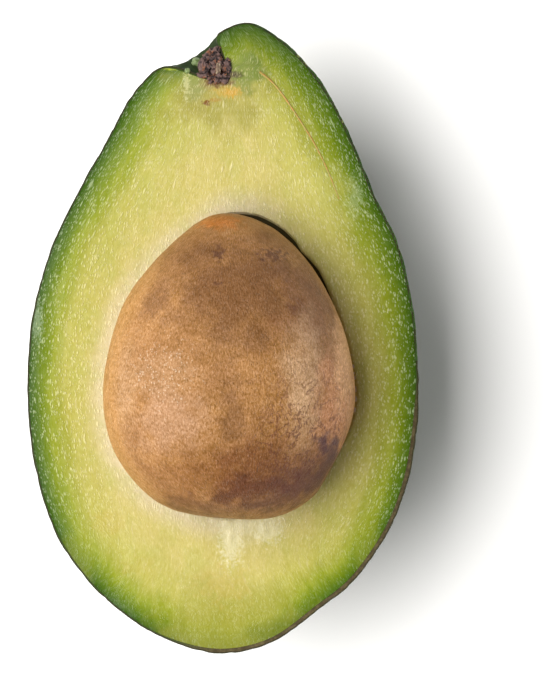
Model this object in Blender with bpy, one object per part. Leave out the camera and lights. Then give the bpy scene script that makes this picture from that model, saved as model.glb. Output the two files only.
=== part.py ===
"""Half an avocado lying on its round side, cut face up, with its seed still in place.

The fruit is modelled whole, as it grew, and then cut: a knife takes the top away, the
seed leaves its hollow in the flesh, and the dried stem end stays in the dimple.
Metres, +Z up. +Y points at the stem end, +X to the right as seen from above.
The origin lies under the middle of the half, on the surface that it rests on.
"""

from math import acos, cos, exp, hypot, pi, sin, sqrt

import bmesh
import bpy
from mathutils import Vector, noise

# Driving dimensions
FRUIT_LENGTH = 0.1050
CUT_HEIGHT = 0.0330
CUT_HALF_WIDTH = 0.0324
FLAT_SPOT_SINK = 0.0005
SKIN_THICKNESS = 0.0010
PART_GAP = 0.0003

# Outline of the cut face, from the blossom end to the stem end, as (x, y)
BLOSSOM_END = (0.0002, -0.0525)
STEM_END = (-0.0029, 0.0483)
LEFT_EDGE = (
    (-0.0079, -0.0508),
    (-0.0154, -0.0468),
    (-0.0225, -0.0404),
    (-0.0279, -0.0323),
    (-0.0309, -0.0226),
    (-0.0323, -0.0132),
    (-0.0323, -0.0032),
    (-0.0311, 0.0058),
    (-0.0282, 0.0154),
    (-0.0237, 0.0246),
    (-0.0192, 0.0326),
    (-0.0154, 0.0396),
    (-0.0112, 0.0442),
    (-0.0073, 0.0453),
    (-0.0049, 0.0472),
)
RIGHT_EDGE = (
    (0.0083, -0.0506),
    (0.0156, -0.0454),
    (0.0219, -0.0402),
    (0.0276, -0.0319),
    (0.0308, -0.0232),
    (0.0323, -0.0132),
    (0.0323, -0.0032),
    (0.0314, 0.0061),
    (0.0291, 0.0156),
    (0.0253, 0.0234),
    (0.0216, 0.0326),
    (0.0174, 0.0411),
    (0.0114, 0.0483),
    (0.0044, 0.0523),
    (-0.0014, 0.0499),
)
FULLNESS = (CUT_HEIGHT + FLAT_SPOT_SINK) / CUT_HALF_WIDTH

# The dimple round the stem, pressed in from its mouth along the stem's line
DIMPLE_MOUTH = Vector((-0.0036, 0.0481, CUT_HEIGHT))
STEM_LINE = Vector((0.62, -0.78, 0.0)).normalized()
DIMPLE_RADIUS = 0.0036
DIMPLE_DEPTH = 0.0056
DIMPLE_REACH = 0.0150
DIMPLE_STEEPNESS = 3  # how squarely its wall meets the skin round it

# Pebbles raised on the skin
PEBBLE_SPACING = 0.0048
PEBBLE_HEIGHT = 0.00050
PEBBLE_STEEPNESS = 1.7
PEBBLE_FADE = 0.0040  # height over the resting surface below which the skin turns smooth

# The cut face falls away to the right of a fold that starts beside the stem
FOLD_X = 0.0260
FOLD_Y = -0.0106
FOLD_BEND = 6.8
FOLD_SOFTNESS = 0.0022
FOLD_FADE = 0.0066
FOLD_SLOPE = 0.30

# The seed is widest a little above the cut. Its outline there, from its base to its tip, as (x, y)
SEED_RISE = 0.0060
SEED_BASE = (0.0028, -0.0296)
SEED_TIP = (0.0013, 0.0200)
SEED_LEFT = (
    (-0.0032, -0.0294),
    (-0.0090, -0.0281),
    (-0.0139, -0.0245),
    (-0.0176, -0.0192),
    (-0.0192, -0.0130),
    (-0.0193, -0.0065),
    (-0.0181, -0.0001),
    (-0.0158, 0.0060),
    (-0.0120, 0.0114),
    (-0.0074, 0.0161),
    (-0.0029, 0.0193),
)
SEED_RIGHT = (
    (0.0094, -0.0293),
    (0.0147, -0.0264),
    (0.0187, -0.0218),
    (0.0209, -0.0164),
    (0.0218, -0.0108),
    (0.0213, -0.0049),
    (0.0200, 0.0009),
    (0.0177, 0.0063),
    (0.0145, 0.0114),
    (0.0103, 0.0159),
    (0.0060, 0.0186),
)
SEED_FULLNESS = 0.95
HOLLOW_CLEARANCE = 0.0008
HOLLOW_SHIFT = Vector((0.0004, 0.0003, 0.0))

# The dried stem end in the dimple, as (radius, height) from its flared root up
STEM_PROFILE = (
    (0.0025, 0.0),
    (0.0025, 0.0009),
    (0.0019, 0.0022),
    (0.0022, 0.0042),
    (0.0014, 0.0052),
)
STEM_FLOOR = 0.0074  # how far in from the dimple's mouth it is rooted

# Mesh fineness: squares along each edge of the cube that is blown up to a body
SKIN_SQUARES = 33
INSIDE_SQUARES = 15
SEED_SQUARES = 11
KNIFE_SQUARES = 28
STEM_SIDES = 12

# How far round the dimple's mouth the meshes are made finer, once and then once more
FINE_REACH = 0.0115
FINEST_REACH = 0.0086

# The knife's block reaches past the fruit on every side and stands clear above it
KNIFE_REACH = 0.0580
KNIFE_TOP = 0.0730


def clear_scene():
    """Removes whatever the file opened with."""
    for item in list(bpy.data.objects):
        bpy.data.objects.remove(item)


def finish(name, colour, roughness):
    """A plain material in the colour of the real surface."""
    material = bpy.data.materials.new(name)
    material.use_nodes = True
    shader = material.node_tree.nodes["Principled BSDF"]
    shader.inputs["Base Color"].default_value = (*colour, 1.0)
    shader.inputs["Roughness"].default_value = roughness
    shader.inputs["Metallic"].default_value = 0.0
    return material


def add_object(name, mesh_builder, material=None):
    """Links a new object made from a bmesh, as a cutter if it has no material."""
    mesh = bpy.data.meshes.new(name)
    mesh_builder.to_mesh(mesh)
    mesh_builder.free()
    item = bpy.data.objects.new(name, mesh)
    bpy.context.scene.collection.objects.link(item)
    if material is None:
        item.hide_render = True
        item.display_type = "WIRE"
    else:
        mesh.materials.append(material)
        mesh.shade_smooth()
    return item


def carve(item, tool):
    """Takes one object's volume out of another."""
    cut = item.modifiers.new(f"cut by {tool.name}", "BOOLEAN")
    cut.operation = "DIFFERENCE"
    cut.solver = "EXACT"
    cut.object = tool


def curve_through(before, start, end, after, share):
    """A point between start and end on the smooth curve through all four."""
    square = share * share
    cube = square * share
    weights = (
        -0.5 * cube + square - 0.5 * share,
        1.5 * cube - 2.5 * square + 1.0,
        -1.5 * cube + 2.0 * square + 0.5 * share,
        0.5 * cube - 0.5 * square,
    )
    points = (before, start, end, after)
    return sum((Vector(point) * weight for point, weight in zip(points, weights)), Vector((0.0, 0.0)))


def edge_point(near_end, edge, far_end, other_edge, station):
    """The point of one edge at a station, 0 at the near end and len(edge) + 1 at the far end."""
    run = (other_edge[0], near_end, *edge, far_end, other_edge[-1])
    index = min(int(station), len(edge))
    return curve_through(*run[index : index + 4], station - index)


def body_point(direction, ends, left_edge, right_edge, plane, fullness):
    """Where a unit direction meets a body whose outline in a level plane is the two edges."""
    near_end, far_end = ends
    around = hypot(direction.x, direction.z)
    station = acos(max(-1.0, min(1.0, -direction.y))) / pi * (len(left_edge) + 1)
    left = edge_point(near_end, left_edge, far_end, right_edge, station)
    right = edge_point(near_end, right_edge, far_end, left_edge, station)
    middle = (left + right) / 2
    if around < 1e-9:
        return Vector((*middle, plane))
    across = (right - left) / 2 * (direction.x / around)
    depth = (right - left).length / 2 * fullness * (direction.z / around)
    return Vector((*(middle + across), plane + depth))


def dimpled(point, inset):
    """Moves a point of the fruit, or of a body inset in it, in along the stem's line."""
    offset = point - DIMPLE_MOUTH
    inward = offset.dot(STEM_LINE)
    aside = (offset - STEM_LINE * inward).length
    if inward > DIMPLE_REACH:
        return point
    fall = exp(-((aside / (DIMPLE_RADIUS + inset)) ** DIMPLE_STEEPNESS))
    return point + STEM_LINE * (DIMPLE_DEPTH * fall)


def pebble(point):
    """Height of the skin's pebbles at a point, between minus and plus half their height."""
    nearest, second = noise.voronoi(point / PEBBLE_SPACING)[0][:2]
    rise = min(1.0, PEBBLE_STEEPNESS * (second - nearest))
    fade = min(1.0, max(0.0, point.z / PEBBLE_FADE))
    return PEBBLE_HEIGHT * (sqrt(rise) - 0.5) * fade


def blown_cube(squares):
    """A bmesh cube with each face split into squares and its points pushed out to a sphere."""
    ball = bmesh.new()
    bmesh.ops.create_cube(ball, size=2.0)
    bmesh.ops.subdivide_edges(ball, edges=ball.edges[:], cuts=squares - 1, use_grid_fill=True)
    for vertex in ball.verts:
        vertex.co.normalize()
    return ball


def refine_round(body, centre, reach):
    """Halves the edges of a body near a point, so that a small form there keeps its shape."""
    near = [
        edge
        for edge in body.edges
        if all((vertex.co - centre).length < reach for vertex in edge.verts)
    ]
    bmesh.ops.subdivide_edges(body, edges=near, cuts=1, use_grid_fill=True)


def fruit_body(squares, inset, pebbled=False):
    """The whole fruit, inset by a distance along its own normals, with its dimple."""
    body = blown_cube(squares)
    for vertex in body.verts:
        vertex.co = body_point(
            vertex.co, (BLOSSOM_END, STEM_END), LEFT_EDGE, RIGHT_EDGE, CUT_HEIGHT, FULLNESS
        )
    body.normal_update()
    for vertex in body.verts:
        relief = pebble(vertex.co) if pebbled else 0.0
        vertex.co += vertex.normal * (relief - inset)
    refine_round(body, DIMPLE_MOUTH, FINE_REACH)
    if not pebbled:
        refine_round(body, DIMPLE_MOUTH, FINEST_REACH)
    for vertex in body.verts:
        vertex.co = dimpled(vertex.co, inset)
    return body


def seed_body(clearance, shift):
    """The seed, or the hollow that it leaves, which is larger all round by a clearance."""
    body = blown_cube(SEED_SQUARES)
    plane = CUT_HEIGHT + SEED_RISE
    for vertex in body.verts:
        vertex.co = body_point(
            vertex.co, (SEED_BASE, SEED_TIP), SEED_LEFT, SEED_RIGHT, plane, SEED_FULLNESS
        )
    body.normal_update()
    for vertex in body.verts:
        vertex.co += vertex.normal * clearance + shift
    return body


def cut_height(x, y):
    """Height of the cut face, which drops beyond the fold on its right side."""
    past_fold = x - (FOLD_X - FOLD_BEND * (y - FOLD_Y) ** 2)
    upper = 1.0 / (1.0 + exp(-(y - FOLD_Y) / FOLD_FADE))
    ramp = (past_fold + sqrt(past_fold**2 + FOLD_SOFTNESS**2)) / 2
    return CUT_HEIGHT - FOLD_SLOPE * ramp * upper


def knife_block():
    """A block over the cut face, whose underside is the face that the knife leaves."""
    block = bmesh.new()
    bmesh.ops.create_grid(
        block, x_segments=KNIFE_SQUARES, y_segments=KNIFE_SQUARES, size=KNIFE_REACH
    )
    for vertex in block.verts:
        vertex.co.z = cut_height(vertex.co.x, vertex.co.y)
    lid = bmesh.ops.extrude_face_region(block, geom=block.faces[:])["geom"]
    for vertex in (item for item in lid if isinstance(item, bmesh.types.BMVert)):
        vertex.co.z = KNIFE_TOP
    bmesh.ops.recalc_face_normals(block, faces=block.faces[:])
    return block


def floor_block():
    """A slab under the fruit that leaves it a small flat spot to rest on."""
    slab = bmesh.new()
    bmesh.ops.create_cube(slab, size=FRUIT_LENGTH)
    bmesh.ops.translate(slab, verts=slab.verts[:], vec=(0.0, 0.0, -FRUIT_LENGTH / 2))
    return slab


def stem_body(clearance=0.0):
    """The woody stem end turned about its own line, or the larger socket that it sits in."""
    turned = bmesh.new()
    rings = []
    for radius, height in STEM_PROFILE:
        reach = radius + clearance
        if not rings:
            height -= clearance
        turns = [2 * pi * side / STEM_SIDES for side in range(STEM_SIDES)]
        rings.append([turned.verts.new((reach * cos(turn), reach * sin(turn), height)) for turn in turns])
    for low, high in zip(rings, rings[1:]):
        for side in range(STEM_SIDES):
            after = (side + 1) % STEM_SIDES
            turned.faces.new((low[side], low[after], high[after], high[side]))
    turned.faces.new(rings[0][::-1])
    turned.faces.new(rings[-1])
    return turned


def stem_placed(item):
    """Stands a stem-end object on the floor of the dimple, pointing out of it."""
    item.location = DIMPLE_MOUTH + STEM_LINE * STEM_FLOOR
    item.rotation_mode = "QUATERNION"
    item.rotation_quaternion = (-STEM_LINE).to_track_quat("Z", "X")
    return item


def main():
    """Builds the four pieces of the half: its skin, its flesh, its seed and its stem end."""
    clear_scene()
    skin_finish = finish("avocado_skin", (0.045, 0.085, 0.025), 0.45)
    flesh_finish = finish("avocado_flesh", (0.66, 0.62, 0.22), 0.35)
    seed_finish = finish("avocado_seed", (0.43, 0.23, 0.10), 0.55)
    stem_finish = finish("dried_stem", (0.10, 0.055, 0.035), 0.8)

    knife = add_object("knife", knife_block())
    floor = add_object("floor", floor_block())
    fruit_inside = add_object("fruit_inside", fruit_body(INSIDE_SQUARES, SKIN_THICKNESS))
    seed_hollow = add_object("seed_hollow", seed_body(HOLLOW_CLEARANCE, HOLLOW_SHIFT))
    stem_socket = stem_placed(add_object("stem_socket", stem_body(PART_GAP)))

    skin = add_object("skin", fruit_body(SKIN_SQUARES, 0.0, pebbled=True), skin_finish)
    for tool in (fruit_inside, stem_socket, knife, floor):
        carve(skin, tool)

    flesh = add_object("flesh", fruit_body(INSIDE_SQUARES, SKIN_THICKNESS + PART_GAP), flesh_finish)
    for tool in (seed_hollow, stem_socket, knife):
        carve(flesh, tool)

    add_object("seed", seed_body(0.0, Vector()), seed_finish)

    stem_end = stem_placed(add_object("stem_end", stem_body(), stem_finish))
    carve(stem_end, knife)


main()
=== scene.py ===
"""Dresses the avocado half: its skin, flesh, seed and dried stem end, on a plain pale stage.

All sizes are in metres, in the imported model's own frame: +Z up, +Y towards the stem end, the
origin on the resting surface under the middle of the half. Each piece is shaped in that frame and
left with its object at the origin.
"""

import logging
import math
from abc import ABC, abstractmethod
from collections.abc import Callable, Iterator
from contextlib import contextmanager
from dataclasses import dataclass, field
from enum import Enum
from functools import cached_property

import bpy
import numpy as np
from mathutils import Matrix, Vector, kdtree, noise


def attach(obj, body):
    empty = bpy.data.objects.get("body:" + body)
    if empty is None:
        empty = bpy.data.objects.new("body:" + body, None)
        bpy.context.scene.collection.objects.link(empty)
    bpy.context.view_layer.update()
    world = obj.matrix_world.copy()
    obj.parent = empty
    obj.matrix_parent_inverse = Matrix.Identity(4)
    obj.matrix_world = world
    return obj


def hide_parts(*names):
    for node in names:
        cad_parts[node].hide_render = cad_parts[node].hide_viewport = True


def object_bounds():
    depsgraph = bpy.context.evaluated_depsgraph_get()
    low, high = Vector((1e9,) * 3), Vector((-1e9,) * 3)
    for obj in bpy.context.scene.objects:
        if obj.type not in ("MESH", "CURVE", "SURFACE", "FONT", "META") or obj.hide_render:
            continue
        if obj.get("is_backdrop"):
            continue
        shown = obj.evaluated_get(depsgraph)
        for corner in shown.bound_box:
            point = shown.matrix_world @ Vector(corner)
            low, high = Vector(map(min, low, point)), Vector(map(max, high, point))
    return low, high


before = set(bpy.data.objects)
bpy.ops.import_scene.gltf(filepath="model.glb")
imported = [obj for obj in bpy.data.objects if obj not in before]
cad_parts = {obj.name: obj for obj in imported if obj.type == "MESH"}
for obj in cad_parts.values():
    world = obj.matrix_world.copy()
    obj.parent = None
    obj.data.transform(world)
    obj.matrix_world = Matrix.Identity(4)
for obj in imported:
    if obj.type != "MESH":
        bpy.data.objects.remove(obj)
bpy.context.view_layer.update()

LOG = logging.getLogger("avocado_half")
BODY = "root"
MM = 0.001

Points = np.ndarray
Colour = tuple[float, float, float]
Socket = bpy.types.NodeSocket


class Mapped(Enum):
    """The names of the point attributes and the UV map that the finishes read."""

    RIPENESS = "ripeness"
    SEED_DEPTH = "seed_depth"
    TORN = "torn"
    SCAR = "scar"
    PEEL_DEPTH = "peel_depth"
    TAN_BAND = "tan_band"
    FOLD = "fold"
    FIBRES = "fibres"


# Mesh handling


def select_only(item: bpy.types.Object) -> None:
    """Makes one object the active and only selected one."""
    bpy.ops.object.select_all(action="DESELECT")
    item.select_set(True)
    bpy.context.view_layer.objects.active = item


@contextmanager
def editing(item: bpy.types.Object, select: str = "SELECT") -> Iterator[None]:
    """Opens one object in edit mode for the length of a with block.

    Args:
        item: The mesh object.
        select: SELECT or DESELECT, what happens to all of its faces on entry.
    """
    select_only(item)
    bpy.ops.object.mode_set(mode="EDIT")
    bpy.ops.mesh.select_all(action=select)
    yield
    bpy.ops.object.mode_set(mode="OBJECT")


def read_points(item: bpy.types.Object) -> Points:
    """Reads a mesh's points as rows of x, y, z."""
    flat = np.zeros(len(item.data.vertices) * 3)
    item.data.vertices.foreach_get("co", flat)
    return flat.reshape(-1, 3)


def write_points(item: bpy.types.Object, points: Points) -> None:
    """Moves a mesh's points to new places, given in the mesh's own order."""
    item.data.vertices.foreach_set("co", points.ravel())
    item.data.update()


def read_normals(item: bpy.types.Object) -> Points:
    """Reads the normals at a mesh's points as unit rows."""
    flat = np.zeros(len(item.data.vertices) * 3)
    item.data.vertex_normals.foreach_get("vector", flat)
    return flat.reshape(-1, 3)


def store_values(item: bpy.types.Object, mapped: Mapped, values: Points) -> None:
    """Stores one number a point under a name, for a finish to read."""
    layer = item.data.attributes.new(mapped.value, "FLOAT", "POINT")
    layer.data.foreach_set("value", values.astype(np.float32))


def store_fibre_map(item: bpy.types.Object, across: Points, along: Points) -> None:
    """Stores a UV map whose lines of equal u run along the fibres.

    Args:
        item: The mesh object.
        across: For each point, its place across the fibres.
        along: For each point, its place along them.
    """
    corners = np.zeros(len(item.data.loops), np.int32)
    item.data.loops.foreach_get("vertex_index", corners)
    layer = item.data.uv_layers.new(name=Mapped.FIBRES.value)
    layer.data.foreach_set("uv", np.stack([across, along], 1)[corners].astype(np.float32).ravel())


def add_shape(name: str, add: Callable, **settings: object) -> bpy.types.Object:
    """Adds a simple shape by its operator, and names it."""
    bpy.ops.object.select_all(action="DESELECT")
    add(**settings)
    item = bpy.context.active_object
    item.name = name
    return item


def link_new(name: str, data: bpy.types.ID) -> bpy.types.Object:
    """Adds an object that shows a curve, a light or a camera."""
    item = bpy.data.objects.new(name, data)
    bpy.context.scene.collection.objects.link(item)
    return item


def swollen_cube(name: str, splits: tuple[int, ...]) -> bpy.types.Object:
    """Adds a cube, splits its faces into squares and swells it to a ball.

    Args:
        name: The object's name.
        splits: Into how many squares each edge is split, in turns.

    Returns:
        The ball.
    """
    ball = add_shape(name, bpy.ops.mesh.primitive_cube_add, size=2.0)
    with editing(ball):
        for split in splits:
            bpy.ops.mesh.subdivide(number_cuts=split - 1)
        bpy.ops.transform.tosphere(value=1.0)
    return ball


def apply_modifier(item: bpy.types.Object, kind: str, **settings: object) -> None:
    """Gives an object a modifier with some settings and applies it."""
    select_only(item)
    modifier = item.modifiers.new(kind, kind)
    for name, value in settings.items():
        setattr(modifier, name, value)
    bpy.ops.object.modifier_apply(modifier=modifier.name)


def cut(item: bpy.types.Object, *tools: bpy.types.Object) -> None:
    """Cuts other objects out of one."""
    for tool in tools:
        apply_modifier(item, "BOOLEAN", operation="DIFFERENCE", solver="MANIFOLD", object=tool)


def join(items: list[bpy.types.Object]) -> bpy.types.Object:
    """Joins objects into the first of them."""
    select_only(items[0])
    for item in items[1:]:
        item.select_set(True)
    if len(items) > 1:
        bpy.ops.object.join()
    return items[0]


def discard(*items: bpy.types.Object) -> None:
    """Removes tools that have done their work."""
    for item in items:
        bpy.data.objects.remove(item)


def smooth(item: bpy.types.Object, angle: float) -> None:
    """Shades an object smooth over edges up to an angle, in degrees."""
    select_only(item)
    bpy.ops.object.shade_smooth_by_angle(angle=math.radians(angle))


def soft_step(values: Points, low: float, high: float) -> Points:
    """Rises smoothly from 0 to 1 between two values.

    Args:
        values: Any numbers.
        low: Where it is 0.
        high: Where it is 1.

    Returns:
        The smooth step of each number.
    """
    share = np.clip((values - low) / (high - low), 0.0, 1.0)
    return share * share * (3.0 - 2.0 * share)


def bell(values: Points, middle: Points | float, width: float) -> Points:
    """A smooth bump of height 1, which has fallen to a third at its width from the middle."""
    return np.exp(-(((values - middle) / width) ** 2))


def grain_at(points: Points, size: Colour, seed: float = 0.0) -> Points:
    """Smooth noise with its own grain size on each axis.

    Args:
        points: Where it is read.
        size: The grain's size along x, y and z.
        seed: Shifts the pattern.

    Returns:
        A number between about -1 and 1 for each point.
    """
    scaled = points / np.array(size) + seed
    return np.array([noise.noise(Vector(point)) for point in scaled])


def lumps_at(points: Points, size: float, steepness: float) -> Points:
    """Rounded lumps with narrow valleys between them.

    Args:
        points: Where they are read.
        size: How far apart the lumps are.
        steepness: How fast they rise out of the valleys.

    Returns:
        A number between 0, in a valley, and 1, on top, for each point.
    """
    heights = np.zeros(len(points))
    for index, point in enumerate(points / size):
        nearest, second = noise.voronoi(Vector(point))[0][:2]
        heights[index] = min(1.0, steepness * (second - nearest))
    return np.sqrt(heights)


def distance_to(places: Points, line: Points) -> Points:
    """How far places in the cut plane are from a line.

    Args:
        places: Rows that start with x and y.
        line: The line's close points, as rows of x and y.

    Returns:
        A distance for each place.
    """
    tree = kdtree.KDTree(len(line))
    for index, (x, y) in enumerate(line):
        tree.insert((x, y, 0.0), index)
    tree.balance()
    return np.array([tree.find((place[0], place[1], 0.0))[2] for place in places])


# Forms that the pieces share


@dataclass(frozen=True)
class EggForm:
    """A body that is round in section, from its outline in the cut plane.

    Each edge has one point a station between the two ends, and the section at a station spans
    from the left edge to the right one.
    """

    near_end: tuple[float, float]
    far_end: tuple[float, float]
    left_edge: tuple[tuple[float, float], ...]
    right_edge: tuple[tuple[float, float], ...]
    fullness: float
    plane: float = 0.0330
    spread: float = 0.0320

    def edge(self, edge: tuple, other: tuple, stations: Points) -> Points:
        """The smooth curve along one edge.

        Args:
            edge: The edge's own points.
            other: The other edge's, into which it runs on at both ends.
            stations: Where it is read, 0 at the near end.

        Returns:
            Rows of x and y.
        """
        run = np.array((other[0], self.near_end, *edge, self.far_end, other[-1]))
        index = np.minimum(stations.astype(int), len(edge))
        share = (stations - index)[:, None]
        before, start, end, after = (run[index + step] for step in range(4))
        return 0.5 * (
            2.0 * start
            + (end - before) * share
            + (2.0 * before - 5.0 * start + 4.0 * end - after) * share**2
            + (3.0 * start - 3.0 * end + after - before) * share**3
        )

    def edges(self, stations: Points) -> tuple[Points, Points]:
        """The left and the right edge, read at the same stations."""
        left = self.edge(self.left_edge, self.right_edge, stations)
        return left, self.edge(self.right_edge, self.left_edge, stations)

    def stations(self, count: int = 400) -> Points:
        """Even stations from end to end."""
        return np.linspace(0.0, len(self.left_edge) + 1, count)

    def ball(self, name: str, splits: tuple[int, ...]) -> bpy.types.Object:
        """Builds the body as a closed mesh of squares, split as finely as asked."""
        ball = swollen_cube(name, splits)
        write_points(ball, self.body(read_points(ball)))
        return ball

    def body(self, directions: Points) -> Points:
        """Where directions meet the body.

        Args:
            directions: Rows of x, y, z.

        Returns:
            The points of the surface.
        """
        unit = directions / np.linalg.norm(directions, axis=1)[:, None]
        around = np.maximum(np.hypot(unit[:, 0], unit[:, 2]), 1e-9)
        turn = np.arccos(np.clip(-unit[:, 1], -1.0, 1.0))
        left, right = self.edges(turn / math.pi * (len(self.left_edge) + 1))
        middle = (left + right) / 2.0
        across = (right - left) / 2.0 * (unit[:, 0] / around)[:, None]
        depth = np.linalg.norm(right - left, axis=1) / 2.0 * self.fullness * unit[:, 2] / around
        return np.column_stack([middle + across, self.plane + depth])

    def outline(self, height: float, count: int = 3000) -> Points:
        """The outline of a level section.

        Args:
            height: The section's height.
            count: How many points it has at most.

        Returns:
            Rows of x and y, all the way round.
        """
        left, right = self.edges(self.stations(count // 2))
        middle, across = (left + right) / 2.0, (right - left) / 2.0
        depth = np.maximum(np.linalg.norm(across, axis=1) * self.fullness, 1e-9)
        share = 1.0 - ((height - self.plane) / depth) ** 2
        met = share > 0.0
        across = across[met] * np.sqrt(share[met])[:, None]
        return np.concatenate([middle[met] - across, (middle[met] + across)[::-1]])

    def fibre_place(self, places: Points) -> Points:
        """How far across the body places are, counted alike at every station.

        Args:
            places: Rows that start with x and y.

        Returns:
            About -1 on the left edge and 1 on the right one.
        """
        left, right = self.edges(self.stations())
        low = np.interp(places[:, 1], *self.rising(left))
        high = np.interp(places[:, 1], *self.rising(right))
        half = np.maximum((high - low) / 2.0, 3.0 * MM)
        return (places[:, 0] - (high + low) / 2.0) / half

    def across(self, places: Points) -> Points:
        """Distance across the fibres, which run from end to end and straighten at the near end."""
        straight = soft_step(places[:, 1], -32.0 * MM, -44.0 * MM)
        return self.fibre_place(places) * self.spread * (1.0 - straight) + places[:, 0] * straight

    @staticmethod
    def rising(edge: Points) -> tuple[Points, Points]:
        """The stretch of an edge along which y rises, as y and x."""
        keep = np.maximum.accumulate(edge[:, 1]) <= edge[:, 1] + 1e-9
        return edge[keep, 1], edge[keep, 0]


@dataclass(frozen=True)
class Dimple:
    """The dimple round the stem, pressed in from its mouth along the stem's line."""

    mouth: Colour = (-0.0036, 0.0481, 0.0330)
    towards: Colour = (0.62, -0.78, 0.0)
    radius: float = 0.0036
    depth: float = 0.0060
    reach: float = 0.0150
    lip_side: float = 0.60
    open_side: float = 1.12
    steepness: float = 1.30

    @property
    def line(self) -> Points:
        """The unit direction into the fruit."""
        return np.array(self.towards) / np.linalg.norm(self.towards)

    def at(self, inward: float, aside: float = 0.0, up: float = 0.0) -> Vector:
        """A place measured from the dimple's mouth.

        Args:
            inward: How far in along the stem's line.
            aside: How far to the right of it, seen from above and looking in.
            up: How far above the cut plane.

        Returns:
            The place.
        """
        line = self.line
        right = np.array((line[1], -line[0], 0.0))
        return Vector(np.array(self.mouth) + line * inward + right * aside + (0.0, 0.0, up))

    def press(self, points: Points, inset: Points | float) -> Points:
        """Moves points of the fruit's surface, or of one inset in it, into the dimple.

        Args:
            points: The points.
            inset: How far in from the skin they lie.

        Returns:
            The points, moved.
        """
        offset = points - np.array(self.mouth)
        inward = offset @ self.line
        sideways = offset @ np.array((self.line[1], -self.line[0], 0.0))
        sideways /= np.where(sideways < 0.0, self.lip_side, self.open_side)
        aside = np.hypot(sideways, offset[:, 2] * self.steepness)
        push = self.depth * np.exp(-((aside / (self.radius + inset)) ** 3))
        push = np.where(inward > self.reach, 0.0, push)
        return points + push[:, None] * self.line


FRUIT = EggForm(
    near_end=(0.0002, -0.0525),
    far_end=(-0.0029, 0.0483),
    left_edge=(
        (-0.0079, -0.0508), (-0.0154, -0.0468), (-0.0225, -0.0404), (-0.0279, -0.0323),
        (-0.0309, -0.0226), (-0.0323, -0.0132), (-0.0323, -0.0032), (-0.0311, 0.0058),
        (-0.0282, 0.0154), (-0.0237, 0.0246), (-0.0192, 0.0326), (-0.0154, 0.0396),
        (-0.0112, 0.0442), (-0.0073, 0.0453), (-0.0049, 0.0472),
    ),
    right_edge=(
        (0.0083, -0.0506), (0.0156, -0.0454), (0.0219, -0.0402), (0.0276, -0.0319),
        (0.0308, -0.0232), (0.0323, -0.0132), (0.0323, -0.0032), (0.0314, 0.0061),
        (0.0291, 0.0156), (0.0253, 0.0234), (0.0216, 0.0326), (0.0174, 0.0411),
        (0.0114, 0.0483), (0.0044, 0.0523), (-0.0014, 0.0499),
    ),
    fullness=0.0335 / 0.0324,
)

SEED = EggForm(
    near_end=(0.0028, -0.0296),
    far_end=(0.0013, 0.0200),
    left_edge=(
        (-0.0032, -0.0294), (-0.0090, -0.0281), (-0.0139, -0.0245), (-0.0176, -0.0192),
        (-0.0192, -0.0130), (-0.0193, -0.0065), (-0.0181, -0.0001), (-0.0158, 0.0060),
        (-0.0120, 0.0114), (-0.0074, 0.0161), (-0.0029, 0.0193),
    ),
    right_edge=(
        (0.0094, -0.0293), (0.0147, -0.0264), (0.0179, -0.0215), (0.0204, -0.0164),
        (0.0217, -0.0108), (0.0213, -0.0049), (0.0200, 0.0009), (0.0177, 0.0063),
        (0.0145, 0.0114), (0.0103, 0.0159), (0.0060, 0.0186),
    ),
    fullness=0.95,
    plane=0.0390,
)

DIMPLE = Dimple()

FACE_MIDDLE = (0.0, -0.006)
THICK_SIDE = -52.0  # the bearing at which the knife went through the skin at a slant


def bearing(places: Points) -> Points:
    """The bearing of places round the face's middle, in degrees from the right to the stem."""
    return np.degrees(np.arctan2(places[:, 1] - FACE_MIDDLE[1], places[:, 0] - FACE_MIDDLE[0]))


def bearing_gap(places: Points, towards: float) -> Points:
    """How far places are turned from a bearing, in degrees, between -180 and 180."""
    return (bearing(places) - towards + 180.0) % 360.0 - 180.0


def on_thick_side(places: Points, inner: float, outer: float) -> Points:
    """How far places belong to the slanted stretch of the skin's cut edge.

    Args:
        places: Rows that start with x and y.
        inner: Up to how many degrees from its middle they do in full.
        outer: From how many degrees on they don't.

    Returns:
        0 to 1 for each place.
    """
    return 1.0 - soft_step(np.abs(bearing_gap(places, THICK_SIDE)), inner, outer)


@dataclass(frozen=True)
class PeelWidth:
    """The width of the skin, in millimetres: thin where the knife went through it squarely."""

    thin: float = 0.28
    slanted: float = 0.74
    whole: float = 1.0

    def at(self, places: Points) -> Points:
        """The width at places given as rows of x, y, z, in metres."""
        at_cut = self.thin + (self.slanted - self.thin) * on_thick_side(places, 34.0, 56.0)
        below = soft_step(CUT.height - places[:, 2], 1.0 * MM, 6.0 * MM)
        return (at_cut + (self.whole - at_cut) * below) * MM


@dataclass(frozen=True)
class Widening:
    """A smooth widening towards one bearing: where, over how many degrees, and how much."""

    towards: float
    spread: float
    most: float

    def at(self, places: Points) -> Points:
        """The widening at places given as rows that start with x and y."""
        return self.most * bell(bearing_gap(places, self.towards), 0.0, self.spread)


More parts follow.
